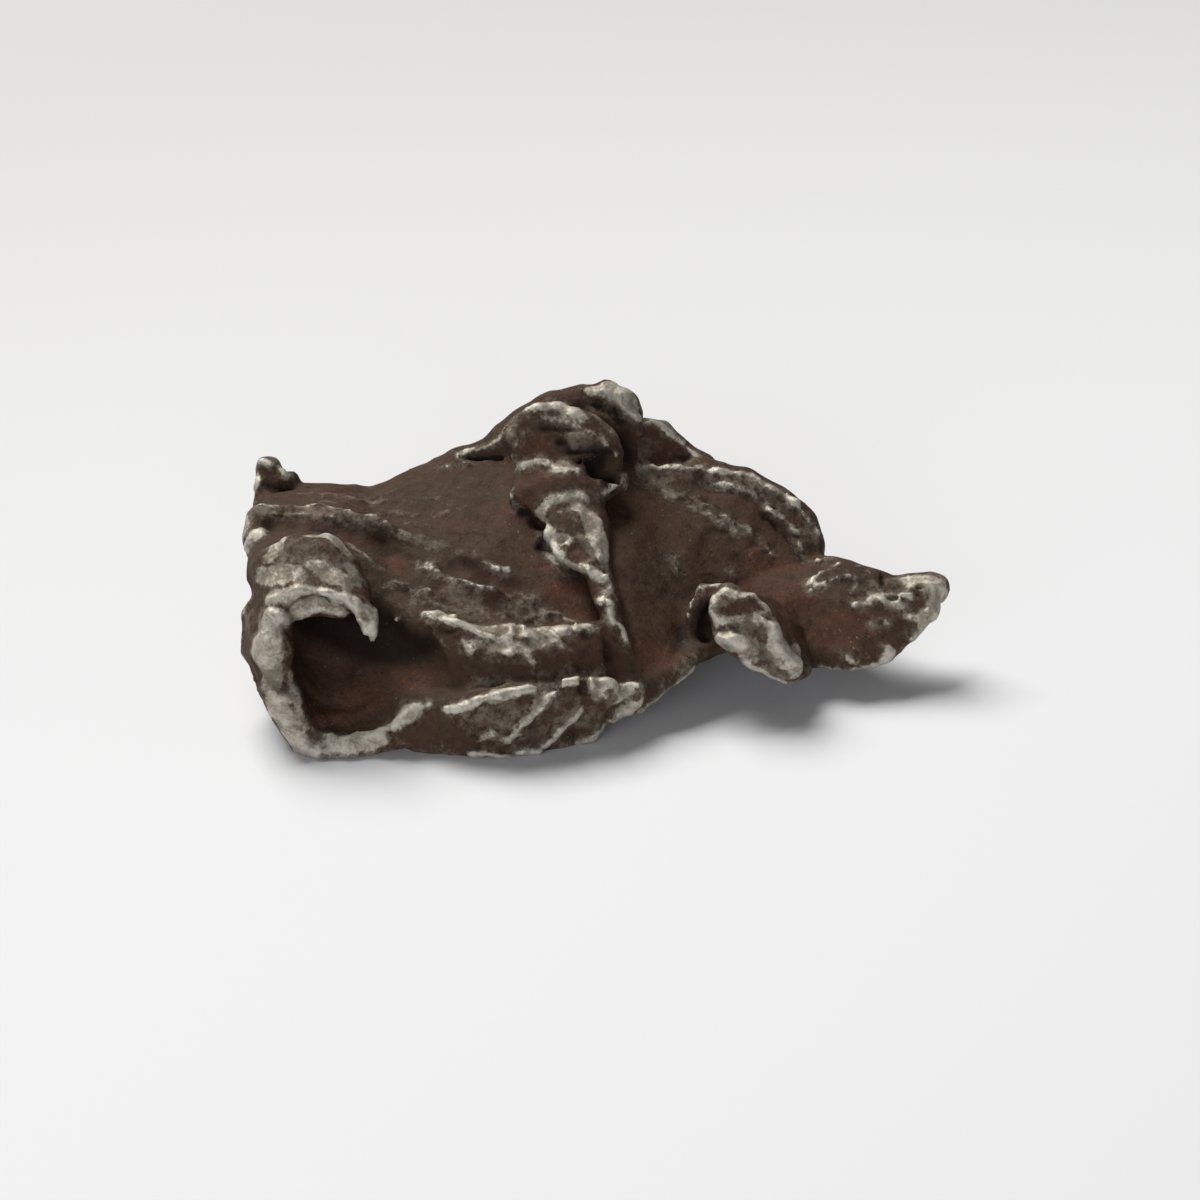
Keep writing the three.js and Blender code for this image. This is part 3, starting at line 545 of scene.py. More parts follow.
# Where the metal tore, its surface is a rough net: round the curled end, down the crest, along
# the torn ridge and on the leaf, the dish and the tail.
rub(torn_spots, *moved(hook_point, 0, -0.25, 0, 0.4))
rub(torn_spots, *moved(lip, 0, -0.25, 0.5, 0.4))
rub(torn_spots, *moved(ridge_top, 0, -0.25, 0.25, 0.4))
rub(torn_spots, *moved(crest_edge[:3], 0.25, 0, 0.5, 0.7))
rub(torn_spots, [-2, 3.75, 11.75, 0.5], [-0.75, 3.5, 11, 0.6], [0.5, 3, 10, 0.6])
rub(torn_spots, *moved(dish_rim, 0, -0.5, 0.5, 0.5))
rub(torn_spots, [4.5, 5, 7.25, 0.6], [6, 4.25, 6.75, 0.7], [7.5, 3.25, 6, 0.7], [8.5, 2.75, 5.75, 0.4])
rub(torn_spots, [13, -0.75, 4.25, 0.5], [15, -0.5, 4.5, 0.7], [17, -0.5, 4.25, 0.8])
rub(torn_spots, *moved(leaf_foot, 0.25, -0.25, 0.25, 0.4))


def seam(blend, rise, *beads, bare=0):
    """A raised thread of metal along the skin, uneven as torn metal is, and perhaps worn bare."""
    at, outward, radii = laid(beads)
    radii = radii * (1 + 0.35 * lumps(at, 0.45, 4))
    rise = rise * (1 + 0.6 * lumps(at, 0.6, 5))
    centres = at + outward * (rise - radii)[:, None]
    work(False, blend, [bar(*np.column_stack([centres, radii]).tolist())])
    if bare:
        rub(bare_spots, *[[*bead[:3], bead[3] * bare] for bead in beads])


def thick(spots, radius):
    """Beads of one thickness at these spots."""
    return [[*spot, radius] for spot in spots]


def thread(blend, rise, radius, bare, *spots):
    """A raised thread of one thickness through these spots."""
    seam(blend, rise, *thick(spots, radius), bare=bare)


def threads(blend, rise, radius, bare, *lines):
    """A raised thread of this kind along each of these lines."""
    for line in lines:
        thread(blend, rise, radius, bare, *line)


NARROW = 0.45


def groove(blend, depth, *beads):
    """A groove pressed into the skin. Dirt gathers in a narrow one."""
    at, outward, radii = laid(beads)
    radii = radii * (1 + 0.25 * lumps(at, 0.45, 6))
    centres = at + outward * (radii - depth)[:, None]
    work(True, blend, [bar(*np.column_stack([centres, radii]).tolist())])
    if max(radii) < NARROW:
        rub(dirt_spots, *beads)


# The hook's worn top and front edge, the lumps at its left corner and the folds of its tip.
rub(bare_spots, [-16.25, -4.5, 7.75, 0.5], [-15.5, -5, 8, 0.6], [-14.5, -5.25, 8, 0.5])
rub(scuff_spots, [-16, -3.75, 8.75, 0.75], [-14.75, -4.25, 9, 1], [-13.25, -4, 9, 1],
    [-12.25, -4.25, 8.5, 0.75])
rub(scuff_spots, [-16.25, -6.5, 6.5, 0.6], [-16.25, -7, 5, 0.6], [-15.75, -8, 3, 0.75],
    [-14.75, -8.75, 1.25, 0.5])
rub(bare_spots, [-16.25, -6.75, 5.25, 0.3], [-16.25, -7.25, 4.5, 0.4], [-16, -7.5, 3.75, 0.3])
rub(bare_spots, [-15.5, -3.5, 9, 0.4], [-16, -4, 8.5, 0.4])
rub(bare_spots, [-14.25, -3.25, 9.5, 0.3], [-13.25, -3.25, 9.25, 0.4], [-12.5, -3.75, 8.75, 0.4])
rub(bare_spots, [-13.75, -5, 8.5, 0.4], [-13.25, -5.25, 8.25, 0.5], [-12.25, -5.5, 7.75, 0.5])
rub(bare_spots, [-12.25, -4.5, 8.25, 0.3], [-11.75, -5, 7.5, 0.3])
seam(0.12, 0.15, *moved(hook_edge, 0, -0.5, 0.25, 0.25), bare=1.6)
rub(bare_spots, *moved(inner_fold, 0, -0.5, 0.25, 0.4))
seam(0.1, 0.12, *moved(inner_fold, 0, -0.5, 0, 0.2))
groove(0.12, 0.2, [-14.75, -6, 7.25, 0.15], [-14, -6.25, 7.25, 0.2], [-13.25, -6.25, 7.25, 0.15])
rub(bare_spots, *moved(hook_point, 0, -0.5, 0.25, 0.4))
seam(0.1, 0.15, [-11.75, -6.25, 7.25, 0.2], [-11.5, -6.5, 6.5, 0.2], [-11.25, -6.75, 5.75, 0.2])
groove(0.1, 0.15, [-12.25, -6.25, 7.25, 0.15], [-12, -6.5, 6.75, 0.15])
for x, y, z, radius in (
    (-16, -6, 7.25, 0.25), (-16, -6.5, 6.75, 0.35), (-15.5, -6.5, 6.5, 0.3),
    (-15.5, -8.25, 3, 0.4), (-15, -8.75, 2, 0.5), (-9.75, -8.5, 1.75, 0.3), (-9.25, -8.25, 2, 0.35),
):
    seam(0.2, radius * 0.4, [x, y, z, radius], [x + 0.25, y, z, radius], bare=1.2)

# The upright wall's worn front, notched across its middle, and the worn lip below it.
rub(bare_spots, *moved(wall_edge[1:4], -0.25, -0.75, 0, 0.8))
rub(bare_spots, *moved(wall_edge[4:], 0, -0.75, -0.25, 0.7))
groove(0.35, 0.2, [-16.75, -7, 4, 0.4], [-15.75, -8, 3.75, 0.5], [-15, -7.75, 3.75, 0.4])
groove(0.15, 0.2, [-15.25, -6.75, 6.25, 0.2], [-15, -7, 6, 0.2])
seam(0.1, 0.1, [-15, -7.5, 4, 0.2], [-14.75, -8.25, 2.75, 0.2], [-14.5, -8.75, 1.25, 0.2], bare=1)
rub(bare_spots, *moved(lip[:5], 0, -0.25, 0.25, 0.35))
seam(0.15, 0.12, *moved(lip, 0, 0, 0.5, 0.25), bare=0.9)
seam(0.12, 0.15, [-10, -8.5, 1.25, 0.25], [-9.25, -8.25, 2, 0.25], [-8.25, -8.5, 2.75, 0.2], bare=0.8)
seam(0.3, 0.15, [-13.5, -7.5, 1.5, 0.3], [-11.5, -7.5, 2, 0.35], [-9.5, -7.25, 2.75, 0.3])

# The fold across the left end: a flaked line along its top, a bright knot at its left tip, loose
# flakes below it and a dark root.
thread(0.1, 0.12, 0.15, 0.6, (-17, 1.5, 8.75), (-16, 1.75, 8.75), (-15, 1.75, 8.75), (-14, 1.75, 8.75))
thread(0.1, 0.1, 0.12, 0.3, (-13.75, 1.5, 8.75), (-12.5, 1.25, 8.75), (-11, 0.75, 8.25), (-9.5, 0, 7.75))
thread(0.08, 0.1, 0.12, 0.5, (-16.5, 1, 8.5), (-15.5, 1, 8.5), (-14.75, 1, 8.5))
thread(0.08, 0.1, 0.12, 0.4, (-13.5, 0.75, 8.5), (-12.75, 0.5, 8.25), (-12, 0.5, 8.25))
thread(0.08, 0.08, 0.1, 0.8, (-12.25, -1, 8), (-11.5, -1.5, 7.5), (-10.75, -2, 7))
rub(scuff_spots, [-16.75, 1.25, 8.5, 0.5], [-13, 1, 8.5, 0.6], [-10, 0.25, 8, 0.4], [-8, -0.75, 7.25, 0.2])
seam(0.15, 0.25, [-17.25, -0.75, 7.5, 0.4], [-17, -0.5, 7.75, 0.4], bare=1.1)
rub(bare_spots, [-17.75, 0.25, 7.75, 0.3], [-17.75, 1, 8, 0.3])
groove(0.3, 0.25, [-16.25, 0.25, 7.75, 0.45], [-14.5, 0.25, 8, 0.5], [-12.5, 0, 8, 0.5])
groove(0.15, 0.15, [-14.25, 0, 8, 0.2], [-13.25, -0.25, 8, 0.25])
groove(0.3, 0.2, [-12, -0.25, 8, 0.5], [-10, -1, 7.25, 0.5], [-8.5, -1.75, 6.5, 0.5])

# Long creases and loose flakes drawn along the upper face when it was torn, and a hollow.
for crease in (
    ((-15.5, 4.5, 7.75), (-13.5, 4.25, 7.75), (-11.5, 4.25, 7.5), (-9.5, 4.25, 7.75)),
    ((-14.5, 3.5, 8), (-12, 3.5, 7.5), (-10, 3.25, 7.5), (-8, 3, 7.75)),
    ((-14, 2.75, 8), (-11.5, 2.5, 7.5), (-9.5, 2, 7.5), (-7.5, 1.5, 7.75)),
    ((-11, 1.5, 7.75), (-9, 1, 7.75), (-7, 0.25, 7.5), (-5.5, 0, 7.25)),
    ((-9, 0, 7.5), (-8, -0.5, 7.25), (-6.75, -1.25, 7), (-5, -1.75, 6.5)),
):
    thread(0.1, 0.1, 0.15, 0, *crease)
    rub(scuff_spots, *thick(crease, 0.15))
for crease in (
    ((-10, -2.75, 6.5), (-9, -3, 6.25), (-8, -3.25, 6)),
    ((-7.75, -2.25, 6.25), (-7, -2.75, 6.25), (-6, -3, 6)),
    ((-5.75, -3.25, 6), (-5, -3.25, 6), (-4.25, -3.5, 5.75)),
    ((-8.75, -3.75, 5.75), (-7.5, -4.25, 5.5), (-6, -4.5, 5.5)),
    ((-5.5, -4.25, 5.5), (-4.5, -4.5, 5.5), (-3.25, -4.75, 5.25)),
    ((-3.75, -3.25, 5.75), (-3.25, -3.5, 5.5), (-2.5, -4, 5.25)),
    ((-9, -1.5, 6.75), (-8, -2, 6.5), (-7.25, -2.25, 6.25)),
    ((-7, -1.25, 6.75), (-5.75, -1.75, 6.5), (-4.5, -2, 6.25)),
):
    thread(0.1, 0.25, 0.2, 0.4, *crease)
    rub(scuff_spots, *thick(crease, 0.3))
threads(0.08, 0.12, 0.14, 0.4,
    ((-8.5, -1.75, 6.75), (-8, -1.75, 6.5), (-7.5, -1.75, 6.5)), ((-7, -1, 7), (-6.5, -1.25, 7)),
    ((-9.75, -4.25, 5.25), (-9.25, -4.25, 5.25)), ((-8.25, -3.25, 6), (-7.75, -3.5, 6)),
    ((-5.5, -3.25, 6), (-4.75, -3.25, 6)), ((-12, 3.75, 7.5), (-11.25, 3.75, 7.5)),
)
groove(0.4, 0.3, [-7.25, -2, 6.5, 0.5], [-6.25, -2.25, 6.25, 0.6], [-5.5, -2.5, 6, 0.5])
groove(0.3, 0.2, [-8.75, -2.75, 6.25, 0.5], [-7.75, -3, 6.25, 0.5])
groove(0.3, 0.2, [-7.25, -3.75, 5.75, 0.5], [-5.75, -3.75, 5.75, 0.6], [-4.5, -4, 5.5, 0.5])
groove(0.3, 0.15, [-4.5, -2.75, 6, 0.5], [-3.5, -3, 5.75, 0.5])

# The torn ridge over the trough: a rough pale band with a ragged top and drips below it.
rub(bare_spots, [-8.25, -5.25, 6, 0.2], [-7.25, -5.5, 6, 0.3], [-6.25, -6, 5.75, 0.3],
    [-4.75, -6, 5.75, 0.35], [-3, -6, 5.5, 0.35], [-1.5, -5.5, 5.5, 0.3], [0, -5, 5.25, 0.2])
rub(bare_spots, [-6.5, -6.5, 5.25, 0.15], [-5, -6.75, 5, 0.3], [-3.25, -6.75, 5, 0.3],
    [-1.75, -6.25, 5, 0.2])
rub(scuff_spots, [-6.5, -6.75, 5, 0.3], [-5, -7, 4.5, 0.4], [-3, -7, 4.5, 0.4])
rub(scuff_spots, [-6.5, -4.75, 5.75, 0.3], [-4.5, -4.75, 5.75, 0.4], [-2.5, -4.5, 5.5, 0.3])
rub(scuff_spots, [-8.5, -3.5, 5.75, 0.5], [-6, -4, 5.75, 0.75], [-3, -3.75, 5.5, 0.75])
threads(0.12, 0.12, 0.2, 1,
    ((-8.5, -5, 6), (-7.75, -5.25, 6.25), (-7, -5.25, 6.25)),
    ((-7.25, -5.75, 6), (-6.25, -6, 5.75), (-5.5, -6.25, 5.5)),
    ((-5.5, -6.25, 5.5), (-4.75, -6.5, 5.25), (-4.25, -6.25, 5.5), (-3.25, -6.25, 5.5)),
    ((-2.75, -6.25, 5.25), (-2, -6, 5.5), (-1, -5.5, 5.5)),
    ((-2.5, -4.5, 5.5), (-2, -4.25, 5.75), (-1.5, -4.25, 5.75), (-1.25, -4.5, 5.5)),
    ((-2, -6.25, 5), (-1.5, -6.25, 4.75)), ((-3.25, -6.75, 4.75), (-3, -7.25, 4.5)),
    ((-6.25, -6.5, 5), (-6, -6.75, 4.75)), ((-4.5, -7, 4.75), (-4, -7, 4.75)),
)
for x, y, z in ((-7.25, -6, 5.5), (-4.25, -6.75, 5), (-2.5, -6, 5.25), (-5.5, -6.75, 5), (-0.5, -5.5, 5)):
    groove(0.12, 0.1, [x, y, z, 0.15], [x + 0.25, y, z, 0.2])

# The flank's raised ribs, bright on top, with smooth scoops between them.
for x, y in ((-4.75, -9), (-2.5, -8.5), (-0.5, -7.75), (1, -7)):
    groove(0.5, 0.25, [x - 0.75, y, 1, 0.5], [x, y, 2, 0.6], [x + 0.5, y, 3, 0.5])
threads(0.15, 0.4, 0.35, 1,
    ((-5.75, -9, 3.25), (-5.25, -9, 3.5), (-4.5, -9, 3.5), (-4, -9, 3.75), (-3.25, -8.75, 4),
      (-2.75, -8.75, 3.75)),
    ((-0.75, -8, 3.75), (-1.25, -8.25, 4), (-1.75, -8.25, 3.75), (-2.5, -8.5, 3), (-2.75, -8.75, 2.5)),
    ((-0.25, -7.75, 3.5), (0.5, -7.5, 3.5), (1, -7.25, 3.25), (0.5, -7.5, 2.75), (0.75, -7.25, 2.5)),
    ((1, -7.25, 2.5), (1.75, -6.75, 2.75), (2, -6.5, 2.25), (1.75, -6.75, 1.5), (1.25, -7, 1.25)),
)
thread(0.15, 0.3, 0.25, 1, (-2.75, -8.75, 2.5), (-3.5, -9, 2), (-3.75, -9, 1.5), (-4.25, -9, 1))
threads(0.12, 0.2, 0.2, 1,
    ((-7.25, -9, 2.75), (-6.5, -9, 2.75), (-6, -9, 3)),
    ((1, -7, 1), (0.25, -7.25, 0.75), (-0.75, -7.75, 0.25)),
    ((-0.75, -7.75, 2), (-1.25, -8, 1.5), (-1.75, -8.25, 1.25), (-2.5, -8.5, 0.5)),
    ((-5, -9, 1.5), (-5.5, -9, 1)), ((-6, -9, 0.25), (-4.5, -9, 0.25), (-2.75, -8.75, 0.25)),
    ((1, -7, 1), (2, -6.25, 1.25), (3, -5.5, 1.75), (4, -5, 2.25), (4.75, -4.5, 2.75)),
)
groove(0.2, 0.35, [-2.25, -8, 4.5, 0.25], [-2.25, -8.25, 4, 0.3], [-2.5, -8.75, 3.5, 0.25])
groove(0.2, 0.35, [-0.5, -7.5, 4.5, 0.2], [-0.5, -7.75, 4, 0.25], [-0.5, -8, 3.25, 0.2])
rub(scuff_spots, [-5.75, -9, 2, 1], [-3.75, -9, 2, 1.25], [-1.75, -8.5, 2.25, 1.25], [0.25, -7.5, 2, 1])
rub(scuff_spots, [-6, -8, 3.75, 0.5], [-3, -8, 4.25, 0.5], [0, -7, 4, 0.5])

# The crest's jagged bright left edge, the bright steps above it and the black crevice under its
# left side.
thread(0.12, 0.2, 0.25, 1.5, (-2.5, 0, 8), (-2.25, -0.75, 7.5), (-1.5, -1.25, 7.25), (-1, -1.75, 7),
    (-0.25, -2.25, 7), (0.25, -2.75, 6.5))
threads(0.1, 0.15, 0.15, 1.2,
    ((0.25, -2.75, 6.5), (0.5, -3.25, 6), (0.75, -3.75, 5.75)),
    ((0.75, -4, 5.5), (1, -4.5, 5), (1.5, -5, 4.5)),
)
rub(bare_spots, [-1, 1, 8.75, 0.3], [-0.25, 0, 8.25, 0.5], [0, -0.75, 7.75, 0.5], [0.25, -1.75, 7, 0.4])
thread(0.1, 0.12, 0.2, 1, (-0.75, 1, 8.75), (0, 0.25, 8.25), (0.25, -0.75, 7.5), (0.5, -1.75, 7),
    (0.75, -2.75, 6.25))
rub(bare_spots, [-2.25, 0.25, 8, 0.3], [-2, -0.5, 7.75, 0.35], [-1.25, -0.75, 7.75, 0.3])
rub(scuff_spots, [-1, 0.75, 8.5, 0.75], [-0.5, -0.25, 8, 0.75], [0, -1.25, 7.5, 0.6])
rub(bare_spots, [-1.75, 0.5, 8.5, 0.15], [-1, 0.5, 8.75, 0.15])
thread(0.1, 0.15, 0.25, 1.2, (-2.75, 0.75, 8.75), (-2.25, 1.25, 9), (-1.25, 1.25, 9.25), (-0.5, 1.25, 9))
thread(0.08, 0.1, 0.15, 0.7, (-0.25, 1.75, 9.25), (0.5, 2, 9.25), (1.25, 2.25, 9.5))
thread(0.1, 0.1, 0.15, 1, (-4, 2, 9.25), (-4, 1.5, 8.75))
groove(0.15, 0.3, [-4, 1.25, 8.75, 0.25], [-3.5, 1, 8.5, 0.25], [-2.75, 0.25, 8, 0.3],
    [-2.75, -0.5, 7.5, 0.3], [-2.25, -1, 7.25, 0.25])

# The knob: its top is a thick bright cap, its sides have a thin rim, its left face carries a
# ragged flake and its right face is dark and pitted.
seam(0.12, 0.15, [-3.25, 4.5, 12.25, 0.25], [-2.5, 4.75, 12.5, 0.4], [-1.5, 4.75, 12.5, 0.4],
    [-0.75, 4.5, 12.25, 0.25], bare=1.2)
rub(bare_spots, [-2.75, 4.25, 12.25, 0.1], [-1.75, 4.25, 12.25, 0.2], [-1, 4.25, 12, 0.1])
for x in (-2.75, -2, -1.25):
    groove(0.1, 0.15, [x, 4, 11.75, 0.15], [x + 0.5, 4, 11.75, 0.2])
thread(0.1, 0.1, 0.15, 0.5, (-3.5, 3.75, 11.75), (-4, 3.5, 11.25), (-4.25, 3.25, 10.75), (-4, 3, 10.25))
thread(0.1, 0.12, 0.15, 0.7, (-0.5, 4, 11.75), (0.25, 3.75, 11.5), (1, 3.5, 10.75),
    (1.25, 3.25, 10), (1.25, 3, 9.5))
threads(0.1, 0.12, 0.2, 1,
    ((-4, 3, 10), (-3.5, 3, 10)), ((-3.5, 3, 10.25), (-3, 3, 10.5), (-2.5, 3, 10.25)),
    ((-2.5, 3, 10.25), (-2, 2.75, 10), (-1.5, 2.75, 10)), ((-2, 2.5, 9.75), (-1.25, 2.5, 9.75)),
    ((0.5, 2.25, 9.25), (1, 2.5, 9.5), (1.25, 2.75, 9.75)),
)
groove(0.2, 0.4, [-0.25, 3, 10.25, 0.3], [0.25, 2.75, 10, 0.4], [0.75, 2.75, 9.5, 0.35])
# Soil and painted shadow in the knob's pit.
rub(soil_and_shadow_spots, [-0.25, 3, 10.5, 0.2], [0.5, 2.75, 10, 0.3])
for x, z in ((-1.75, 11.5), (-1.25, 11), (-0.75, 11.25), (-0.25, 11), (-0.75, 10.5), (-1.25, 10), (0.5, 11)):
    groove(0.12, 0.2, [x, 3.25, z, 0.22], [x + 0.25, 3.25, z, 0.22])
rub(scuff_spots, [-1, 3.5, 11.5, 0.5], [0, 3.25, 11, 0.5], [0.75, 3, 10.5, 0.4])

# The hooked point behind the knob, and the flakes along the back edge to its left.
rub(bare_spots, [-0.25, 7, 12.5, 0.3], [0.5, 7, 12.75, 0.5], [1.25, 7, 12.5, 0.7], [1.75, 6.75, 12, 0.6])
seam(0.12, 0.2, [0.25, 6.75, 12.75, 0.25], [1, 6.75, 12.5, 0.35], [1.75, 6.5, 11.75, 0.35],
    [2.25, 6.5, 11.25, 0.2], bare=1)
groove(0.15, 0.2, [0, 6.5, 12.25, 0.15], [0.75, 6.25, 12, 0.2], [1.25, 6.25, 11.25, 0.25])
thread(0.1, 0.12, 0.2, 0.5, (-7.25, 6, 9.25), (-6.25, 6.25, 9.5), (-5, 6.25, 10), (-3.75, 6.75, 11))
thread(0.1, 0.12, 0.16, 0.6, (-8, 5.25, 9), (-7.25, 5.5, 9), (-6.5, 5.25, 9))
groove(0.15, 0.3, [-7, 5.75, 9, 0.15], [-5.75, 5.75, 9.25, 0.25], [-4.75, 5.75, 9.25, 0.2])

# The fin's thin edge and hollow face.
seam(0.08, 0.08, *moved(fin_edge, 0, -0.25, 0.25, 0.15), bare=0.8)
groove(0.5, 0.3, [2.25, 7.5, 9, 0.5], [3.25, 7.5, 8.75, 0.6], [4.5, 7.5, 8.25, 0.4])
rub(scuff_spots, [2.5, 7.25, 8.75, 1], [3.5, 7.25, 8.75, 1], [4.75, 7.25, 8.5, 0.5])

# The flaked rim of the dished face and the bright threads inside it.
threads(0.08, 0.12, 0.15, 1.2,
    ((1.75, 6.25, 8.5), (3, 6.5, 8.5), (4.5, 6.5, 8.5), (6.5, 6.25, 8.5)),
    ((6.5, 6.25, 8.5), (8.25, 6.25, 8.25), (9.5, 5.75, 7.5)),
)
thread(0.08, 0.12, 0.12, 1, (9.5, 5.75, 7.5), (10.75, 5, 6.75), (11.75, 4.25, 5.75))
rub(scuff_spots, [2, 5.75, 8.25, 0.4], [4, 6, 8.25, 0.3], [6.5, 6, 8.25, 0.3], [8.5, 5.75, 8, 0.4],
    [9.75, 5.25, 7.25, 0.5], [11, 4.25, 6.25, 0.5], [11.5, 4, 5.75, 0.3])
rub(scuff_spots, [2.5, 5.5, 8, 0.3], [4.5, 4.75, 7.25, 0.4], [6, 4, 6.75, 0.5], [7.5, 3.25, 6.25, 0.4])
for flake in (
    ((6.25, 5.75, 8), (7, 5.75, 7.75), (7.75, 5.5, 7.75), (8.5, 5.25, 7.5)),
    ((9, 5, 7.25), (9.25, 4.75, 7)), ((9.25, 4.75, 7), (9.75, 4.5, 6.75), (10, 4.25, 6.5)),
    ((10.25, 4.25, 6.25), (10.5, 3.75, 6), (11, 3, 5.5)), ((10, 5.75, 7.25), (10.5, 5.25, 6.75)),
):
    thread(0.08, 0.16, 0.16, 1.1, *flake)
    groove(0.08, 0.1, *[[x - 0.25, y - 0.25, z - 0.25, 0.12] for x, y, z in flake])
threads(0.06, 0.1, 0.08, 1.1,
    ((5.5, 4, 7), (6, 3.75, 6.75), (6.5, 3.5, 6.5), (7, 3.25, 6.5), (7.75, 3, 6.25)),
    ((6.5, 4, 6.75), (7, 3.75, 6.5), (7.25, 3.75, 6.5)), ((7, 3.5, 6.5), (7.5, 3.5, 6.5), (8, 3.25, 6.25)),
    ((8.5, 3, 6), (9, 2.75, 5.75), (9.25, 2.5, 5.5)), ((5, 4.75, 7.25), (5.5, 4.5, 7), (6.25, 4.5, 7)),
    ((4.5, 4.5, 7.25), (5, 4.25, 7)), ((3.5, 5, 7.75), (4.25, 4.75, 7.5), (5, 4.75, 7.25)),
    ((4, 0.75, 6), (4, 0, 5.75)), ((6.75, 1.25, 5.25), (7, 1, 5)), ((10.5, 3, 5.5), (11, 2.5, 5.25)),
)

# Arcs, flakes and a worn border on the tail, and its bare tip.
threads(0.08, 0.16, 0.12, 1.3,
    ((11, 0, 5), (11.25, 0.5, 5.25), (11.75, 1, 5.25), (12.5, 1.25, 5.25)),
    ((11, -0.25, 4.75), (12, 0.25, 5), (12.75, 0.5, 5), (13.5, 0.5, 5)),
    ((13.5, 0.25, 5), (13.25, -0.25, 4.75), (13, -0.5, 4.5)),
    ((11.5, 2.25, 5.25), (12.25, 2, 5.25)), ((13.5, 1.25, 5), (14, 1, 5)),
    ((12.75, -2.75, 2.25), (13.25, -2.75, 2)), ((14.25, -1.5, 3.25), (14.75, -1.5, 3.25)),
)
threads(0.1, 0.16, 0.2, 1.2,
    ((13.25, -1, 4.25), (13.75, -1, 4.25), (14.5, -0.5, 4.5), (15.25, -0.5, 4.5), (16, -0.75, 4.5)),
    ((14.5, -0.75, 4.25), (15.25, -1, 4.25), (15.75, -1, 4.25)),
    ((16, -0.25, 4.75), (16.75, 0, 5), (17.5, 0, 4.75)),
    ((16, -1.25, 3.75), (16.5, -1.25, 3.75), (17, -1, 4)),
)
rub(bare_spots, [16, 0.25, 5, 0.3], [17, 0, 5, 0.6], [17.75, -0.5, 4.25, 0.6], [16.75, -1.25, 3.75, 0.5])
rub(scuff_spots, [14, 0, 4.75, 0.5], [16, 0, 4.75, 0.75], [16.5, -1, 3.75, 0.75], [15.5, -1.75, 2.75, 0.3])
thread(0.12, 0.12, 0.2, 0.9, (17.75, -0.5, 4), (17.25, -1.25, 3.25), (16.25, -1.75, 2.75))
thread(0.12, 0.15, 0.3, 1, (14.75, -2, 2.25), (14.25, -2.5, 1.75))
thread(0.12, 0.12, 0.15, 0.9, (14, -2.5, 1.5), (13, -2.75, 1.5), (11.5, -3.25, 1.25))
groove(0.15, 0.2, [14.75, 0.75, 5, 0.15], [14.75, 0, 4.75, 0.2])
groove(0.3, 0.12, [15.75, -1.5, 3, 0.5], [15, -1.5, 3, 0.6])

# The leaf: a thin bright border, a fat rolled ridge down its right side and a bright corner.
thread(0.1, 0.12, 0.2, 1, (6.5, -3.25, 6), (7, -3.25, 6), (7.75, -3.5, 5.75), (8.25, -3.75, 5.25))
seam(0.2, 0.4, [8.25, -4, 5, 0.3], [8.75, -4.25, 4.5, 0.45], [9, -4.5, 3.75, 0.45],
    [9.5, -4.75, 3.25, 0.5], [10, -5, 2.75, 0.4], bare=1.3)
seam(0.2, 0.35, [6.25, -4.5, 4.25, 0.4], [6.75, -4.75, 4.25, 0.5], [7.25, -4.75, 4, 0.4], bare=1.2)
threads(0.12, 0.12, 0.25, 1,
    ((7.5, -5, 3.5), (8, -5.25, 3), (8.75, -5.25, 2.5), (9.5, -5.25, 2)),
    ((6.5, -4, 5), (7, -4, 5), (7.25, -4, 5)),
)
thread(0.1, 0.1, 0.15, 0.8, (6.25, -3.25, 5.75), (6.25, -4, 4.75))
rub(scuff_spots, [7.25, -4, 5, 0.5], [8, -4.25, 4.25, 0.6], [8.5, -4.75, 3.5, 0.5], [9, -5, 2.75, 0.5])
groove(0.12, 0.15, [8.25, -4.75, 3.75, 0.15], [8.5, -5, 3.25, 0.2])

# The upright fold beside the leaf, with deep clefts on both sides.
seam(0.1, 0.12, *moved(upright, -0.25, -0.25, 0.25, 0.15), bare=0.5)
thread(0.1, 0.12, 0.15, 1, (5.5, -2.25, 5.75), (6.25, -2.5, 6))
groove(0.3, 0.15, *moved(upright, -0.5, 0, 0, 0.25))
thread(0.1, 0.12, 0.15, 0, (5.25, -2.75, 4.75), (5, -3.25, 4), (4.75, -3.75, 3.25))
groove(0.2, 0.3, [6, -2.5, 5.25, 0.2], [5.75, -3, 4.5, 0.3], [5.5, -3.5, 3.5, 0.25])

# The horn's worn tip, its bright side and its side lobe.
seam(0.15, 0.15, [-17.5, 6.25, 9, 0.3], [-17, 6.25, 8.75, 0.3], bare=0.7)
seam(0.15, 0.2, [-17.75, 6, 8, 0.35], [-17.5, 6, 7.5, 0.3], bare=0.9)
seam(0.15, 0.25, [-16.5, 6.25, 8.25, 0.35], [-16.25, 6, 8, 0.35], bare=0.5)
groove(0.15, 0.25, [-17.25, 5.75, 7.75, 0.15], [-16.75, 5.5, 7.5, 0.25], [-16.25, 5.5, 7.5, 0.25])

